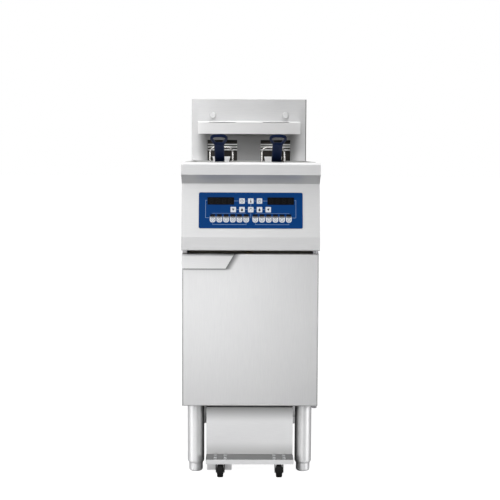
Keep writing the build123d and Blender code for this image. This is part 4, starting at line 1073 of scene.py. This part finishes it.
def square_edges(count):
    """The u of each key's left and right edge in a row of square keys."""
    return [u + side for u in square_middles(count) for side in (-SQUARE_EDGE, SQUARE_EDGE)]


def row_lines(row, stops):
    """Level lines, each from one stop to the next."""
    return [bar(first, row, last, row, LINE) for first, last in zip(stops[::2], stops[1::2])]


lines = row_lines(TOP_ROW, [-DISPLAY_EDGE, *square_edges(3), DISPLAY_EDGE])
lines += row_lines(MIDDLE_ROW, square_edges(5)[1:-1])
lines += [bar(0, start, 0, end, LINE) for start, end in STEMS]
for sign in (-1, 1):
    strokes = [
        (FRAME_SIDE, FRAME_TOP, FRAME_SIDE, FRAME_LOW, LINE),
        (FRAME_SIDE - SHORT, FRAME_TOP, FRAME_TOP_END, FRAME_TOP, LINE),
        (FRAME_SIDE - SHORT, FRAME_LOW, FRAME_LOW_END, FRAME_LOW, LINE),
        (BRACKET_NEAR, BRACKET_LOW, BRACKET_FAR, BRACKET_LOW, LINE),
        (BRACKET_NEAR, BRACKET_LOW + SHORT, BRACKET_NEAR, BRACKET_TOP, LINE),
        (BRACKET_FAR, BRACKET_LOW + SHORT, BRACKET_FAR, BRACKET_TOP, LINE),
        (RULE_NEAR, RULE_ROW, RULE_FAR, RULE_ROW, FINE_LINE),
    ]
    lines += [bar(sign * u0, v0, sign * u1, v1, width) for u0, v0, u1, v1, width in strokes]
solid_piece("keypad_lines", printed(lines, FILM), "cabinet", print_white)
print("printed lines", len(lines))

# %% [markdown]
# A dark window sits above every numbered key, and each display has four unlit digits of seven bars.
# Both repeat one shape on many places, which is a job for a tree: the seed holds the places, and the
# tree holds the plate or the digit with its sizes.

# %% Set the dark windows and the unlit digits
SHIELDS, SHIELD_PITCH, SHIELD_START, WINDOW_ROW = 6, 19.15, 13.0, -14.6
DISPLAY_MIDDLE, DIGITS, DIGIT_PITCH = 85.75, 4, 18.0
SEGMENT_THICK, ACROSS_GAP, UPRIGHT_GAP = 0.0001, 2.2, 1.6


def plates(material):
    """Small flat plates, one on every point of the seed."""
    tree = Tree("plates", Width=0.014, Height=0.007, Thick=0.0002)
    plate = tree.cube(tree.input("Width"), tree.input("Height"), tree.input("Thick"))
    return tree.close(tree.scatter(plate, (PANEL_TILT, 0.0, 0.0)), material)


def seven_segments(material):
    """A digit of seven bars on every point of the seed."""
    tree = Tree("seven_segments", Width=0.008, Height=0.013, Bar=0.0012)
    width, height, thick = tree.input("Width"), tree.input("Height"), tree.input("Bar")
    across, upright = width - thick * ACROSS_GAP, height * 0.5 - thick * UPRIGHT_GAP
    bars = [tree.cube(across, thick, SEGMENT_THICK, (0.0, height * y, 0.0)) for y in (-0.5, 0.0, 0.5)]
    for x in (-0.5, 0.5):
        for y in (-0.25, 0.25):
            bars.append(tree.cube(thick, upright, SEGMENT_THICK, (width * x, height * y, 0.0)))
    return tree.close(tree.scatter(tree.join(bars), (PANEL_TILT, 0.0, 0.0)), material)


window_places, digit_places = [], []
for sign in (-1, 1):
    for index in range(SHIELDS):
        window_places.append(on_panel(sign * (SHIELD_START + index * SHIELD_PITCH), WINDOW_ROW, FILM))
    for index in range(DIGITS):
        shift = (index - (DIGITS - 1) / 2) * DIGIT_PITCH
        digit_places.append(on_panel(sign * DISPLAY_MIDDLE + shift, TOP_ROW, DISPLAY_FACE))
windows, digits = seed("windows", window_places), seed("digits", digit_places)
grow("keypad_windows", plates(window_black), windows, "cabinet", "display_black",
     Width=14.0 * MM, Height=7.2 * MM, Thick=0.24 * MM)
grow("display_digits", seven_segments(segment_grey), digits, "cabinet", "display_black",
     Width=8.5 * MM, Height=14.0 * MM, Bar=1.5 * MM)

# %% [markdown]
# The square keys carry plain symbols: clocks, a thermometer, pointers, drops and a power mark. Each
# is a function that returns its outlines round the key's middle. A symbol rides on its key, because
# every key can be pressed.

# %% Put a symbol on every square key


def clock(u, v):
    """A dial with two hands."""
    hands = [bar(u, v, u, v + 2.2, width=0.9), bar(u, v, u + 1.7, v, width=0.8)]
    return [ring(u, v, radius=4.4, width=1.0), *hands]


def thermometer(u, v):
    """A stem on a round bulb."""
    bulb = arc(u, v - 2.8, radius=2.3, start=0, end=359)
    return [bar(u, v - 1.4, u, v + 4.0, width=1.7), bulb]


def power(u, v):
    """An open ring with a stroke in its gap."""
    open_ring = ring(u, v, radius=4.2, width=0.9, start=-50, end=230)
    return [open_ring, bar(u, v + 1.0, u, v + 4.6, width=1.0)]


def drop(u, v, size=7.6):
    """A drop with its point up."""
    belly = arc(u, v - 0.25 * size, radius=0.42 * size, start=-205, end=25, steps=16)
    return [belly + [(u, v + 0.62 * size)]]


def pointer(u, v, sign=1):
    """A wedge that points up to the left, or mirrored to the right."""
    corners = [(-3.8, 3.8), (-0.6, -3.8), (3.6, 2.2)]
    return [[(u + sign * a, v + b) for a, b in corners[::sign]]]


def mirrored_pointer(u, v):
    """A wedge that points up to the right."""
    return pointer(u, v, -1)


square_rows = {
    ("top", TOP_ROW): [clock, thermometer, clock],
    ("middle", MIDDLE_ROW): [pointer, drop, power, drop, mirrored_pointer],
}
for (row, v), symbols in square_rows.items():
    for index, u in enumerate(square_middles(len(symbols))):
        key = f"key_{row}_{index + 1}"
        mesh = printed(symbols[index](u, v), KEY_TOP)
        solid_piece(f"symbol_{key}", mesh, key, glyph_dark)
print("symbols", sum(len(symbols) for symbols in square_rows.values()))

# %% [markdown]
# The shield keys are numbered 1 to 6 on both sides. Each has a number in a ring and a dark band at
# its top. The number comes from the built-in typeface. It is made a mesh first and then laid on the
# panel point by point, so that the piece itself stays at the origin.

# %% Number the shield keys
SHIELD_ROW, NUMERAL_SIZE, NUMERAL_SINK = -26.4, 7.0, 0.6
DIAL_RADIUS, DIAL_LINE = 5.2, 1.1
BAND_RISE, BAND_HALF, BAND_WIDTH = 6.65, 6.0, 2.3


def numeral(text, u, v):
    """A digit of the built-in typeface as a thin solid on the panel."""
    data = bpy.data.curves.new("numeral", "FONT")
    data.body, data.size, data.extrude = text, NUMERAL_SIZE, INK / 2
    data.align_x, data.align_y = "CENTER", "CENTER"
    holder = bpy.data.objects.new("numeral", data)
    scene.collection.objects.link(holder)
    mesh = evaluated_mesh(holder)
    bpy.data.objects.remove(holder)
    for vertex in mesh.vertices:
        x, y, z = vertex.co
        vertex.co = on_panel(u + x, v + y, KEY_TOP + INK / 2 + z) * MM
    return mesh


for side, sign in (("left", -1), ("right", 1)):
    for index in range(SHIELDS):
        step = SHIELDS - 1 - index if sign < 0 else index
        u, v = sign * (SHIELD_START + step * SHIELD_PITCH), SHIELD_ROW - NUMERAL_SINK
        key = f"key_{side}_{index + 1}"
        solid_piece(f"numeral_{key}", numeral(str(index + 1), u, v), key, glyph_grey)
        dial = printed([ring(u, v, DIAL_RADIUS, DIAL_LINE)], KEY_TOP)
        solid_piece(f"ring_{key}", dial, key, glyph_grey)
        level = SHIELD_ROW + BAND_RISE
        band = printed([bar(u - BAND_HALF, level, u + BAND_HALF, level, BAND_WIDTH)], KEY_TOP)
        solid_piece(f"brow_{key}", band, key, window_black)
print("numbered keys", 2 * SHIELDS)

# %% [markdown]
# ## Knurls
# The thumbscrews on the hanger have knurled heads for the fingers. A bump would leave the head's
# outline smooth, so the ridges are real: one tree puts four-sided bars on a circle, each turned to
# face outwards, and the circle on both screws.

# %% Knurl the thumbscrews
THUMB_HALF, THUMB_SETBACK, THUMB_HEIGHT = 125.0, 682.5, 1074.0


def knurls(material):
    """A ring of straight ridges round every point of the seed."""
    tree = Tree("knurls", Radius=0.010, Ridges=36, Ridge=0.0007, Length=0.009)
    size = {"Vertices": tree.input("Ridges"), "Radius": tree.input("Radius")}
    circle = tree.add("GeometryNodeMeshCircle", inputs=size)
    size = {"Vertices": 4, "Radius": tree.input("Ridge"), "Depth": tree.input("Length")}
    ridge = tree.add("GeometryNodeMeshCylinder", inputs=size)
    outward = tree.add("GeometryNodeInputPosition")
    spin = tree.add("FunctionNodeAlignRotationToVector", {"axis": "X"}, {"Vector": outward})
    ridges = {"Points": circle, "Instance": ridge, "Rotation": spin}
    crown = tree.add("GeometryNodeInstanceOnPoints", inputs=ridges)
    return tree.close(tree.scatter(crown, (math.pi / 2, 0.0, 0.0)), material)


heads = seed("heads", [(x, back(THUMB_SETBACK), THUMB_HEIGHT) for x in (-THUMB_HALF, THUMB_HALF)])
grow("thumbscrew_knurls", knurls(steel_turned), heads, "cabinet", "stainless", Ridges=36)

# %% [markdown]
# ## Screws
# The back panel is held by dome screws with a cross recess. The dome is a flattened ball, and two
# bars are cut out of it, one after the other, by Mesh Boolean nodes. The ball is turned a little
# first, so that none of its edges lies in a side of the recess and the cut stays clean.

# %% Fasten the back panel
SCREW_HALF, SCREW_HEIGHTS = 191.0, (230.0, 400.0, 570.0, 740.0, 890.0)
HEAD_TURN = 0.11


def dome_screws(material):
    """A dome head with a cross recess on every point of the seed, facing back."""
    tree = Tree("dome_screws", Radius=0.0045, Height=0.002, Slot=0.0011)
    radius, height, slot = tree.input("Radius"), tree.input("Height"), tree.input("Slot")
    ball = tree.add("GeometryNodeMeshUVSphere", inputs={"Segments": 24, "Rings": 12, "Radius": radius})
    flat = tree.vector(1.0, 1.0, height / radius)
    turned = {"Geometry": ball, "Scale": flat, "Rotation": (0.0, 0.0, HEAD_TURN)}
    head = tree.add("GeometryNodeTransform", inputs=turned)
    exact = {"operation": "DIFFERENCE", "solver": "EXACT"}
    for x, y in ((slot, radius), (radius, slot)):
        recess = tree.cube(x, y, height, (0.0, 0.0, height))
        head = tree.add("GeometryNodeMeshBoolean", exact, {0: head, 1: recess})
    return tree.close(tree.scatter(head, (-math.pi / 2, 0.0, 0.0)), material)


places = [(x, back(DEPTH), z) for x in (-SCREW_HALF, SCREW_HALF) for z in SCREW_HEIGHTS]
screws = seed("back_screws", places)
grow("back_screws", dome_screws(zinc_plate), screws, "cabinet", "zinc", Height=0.002)
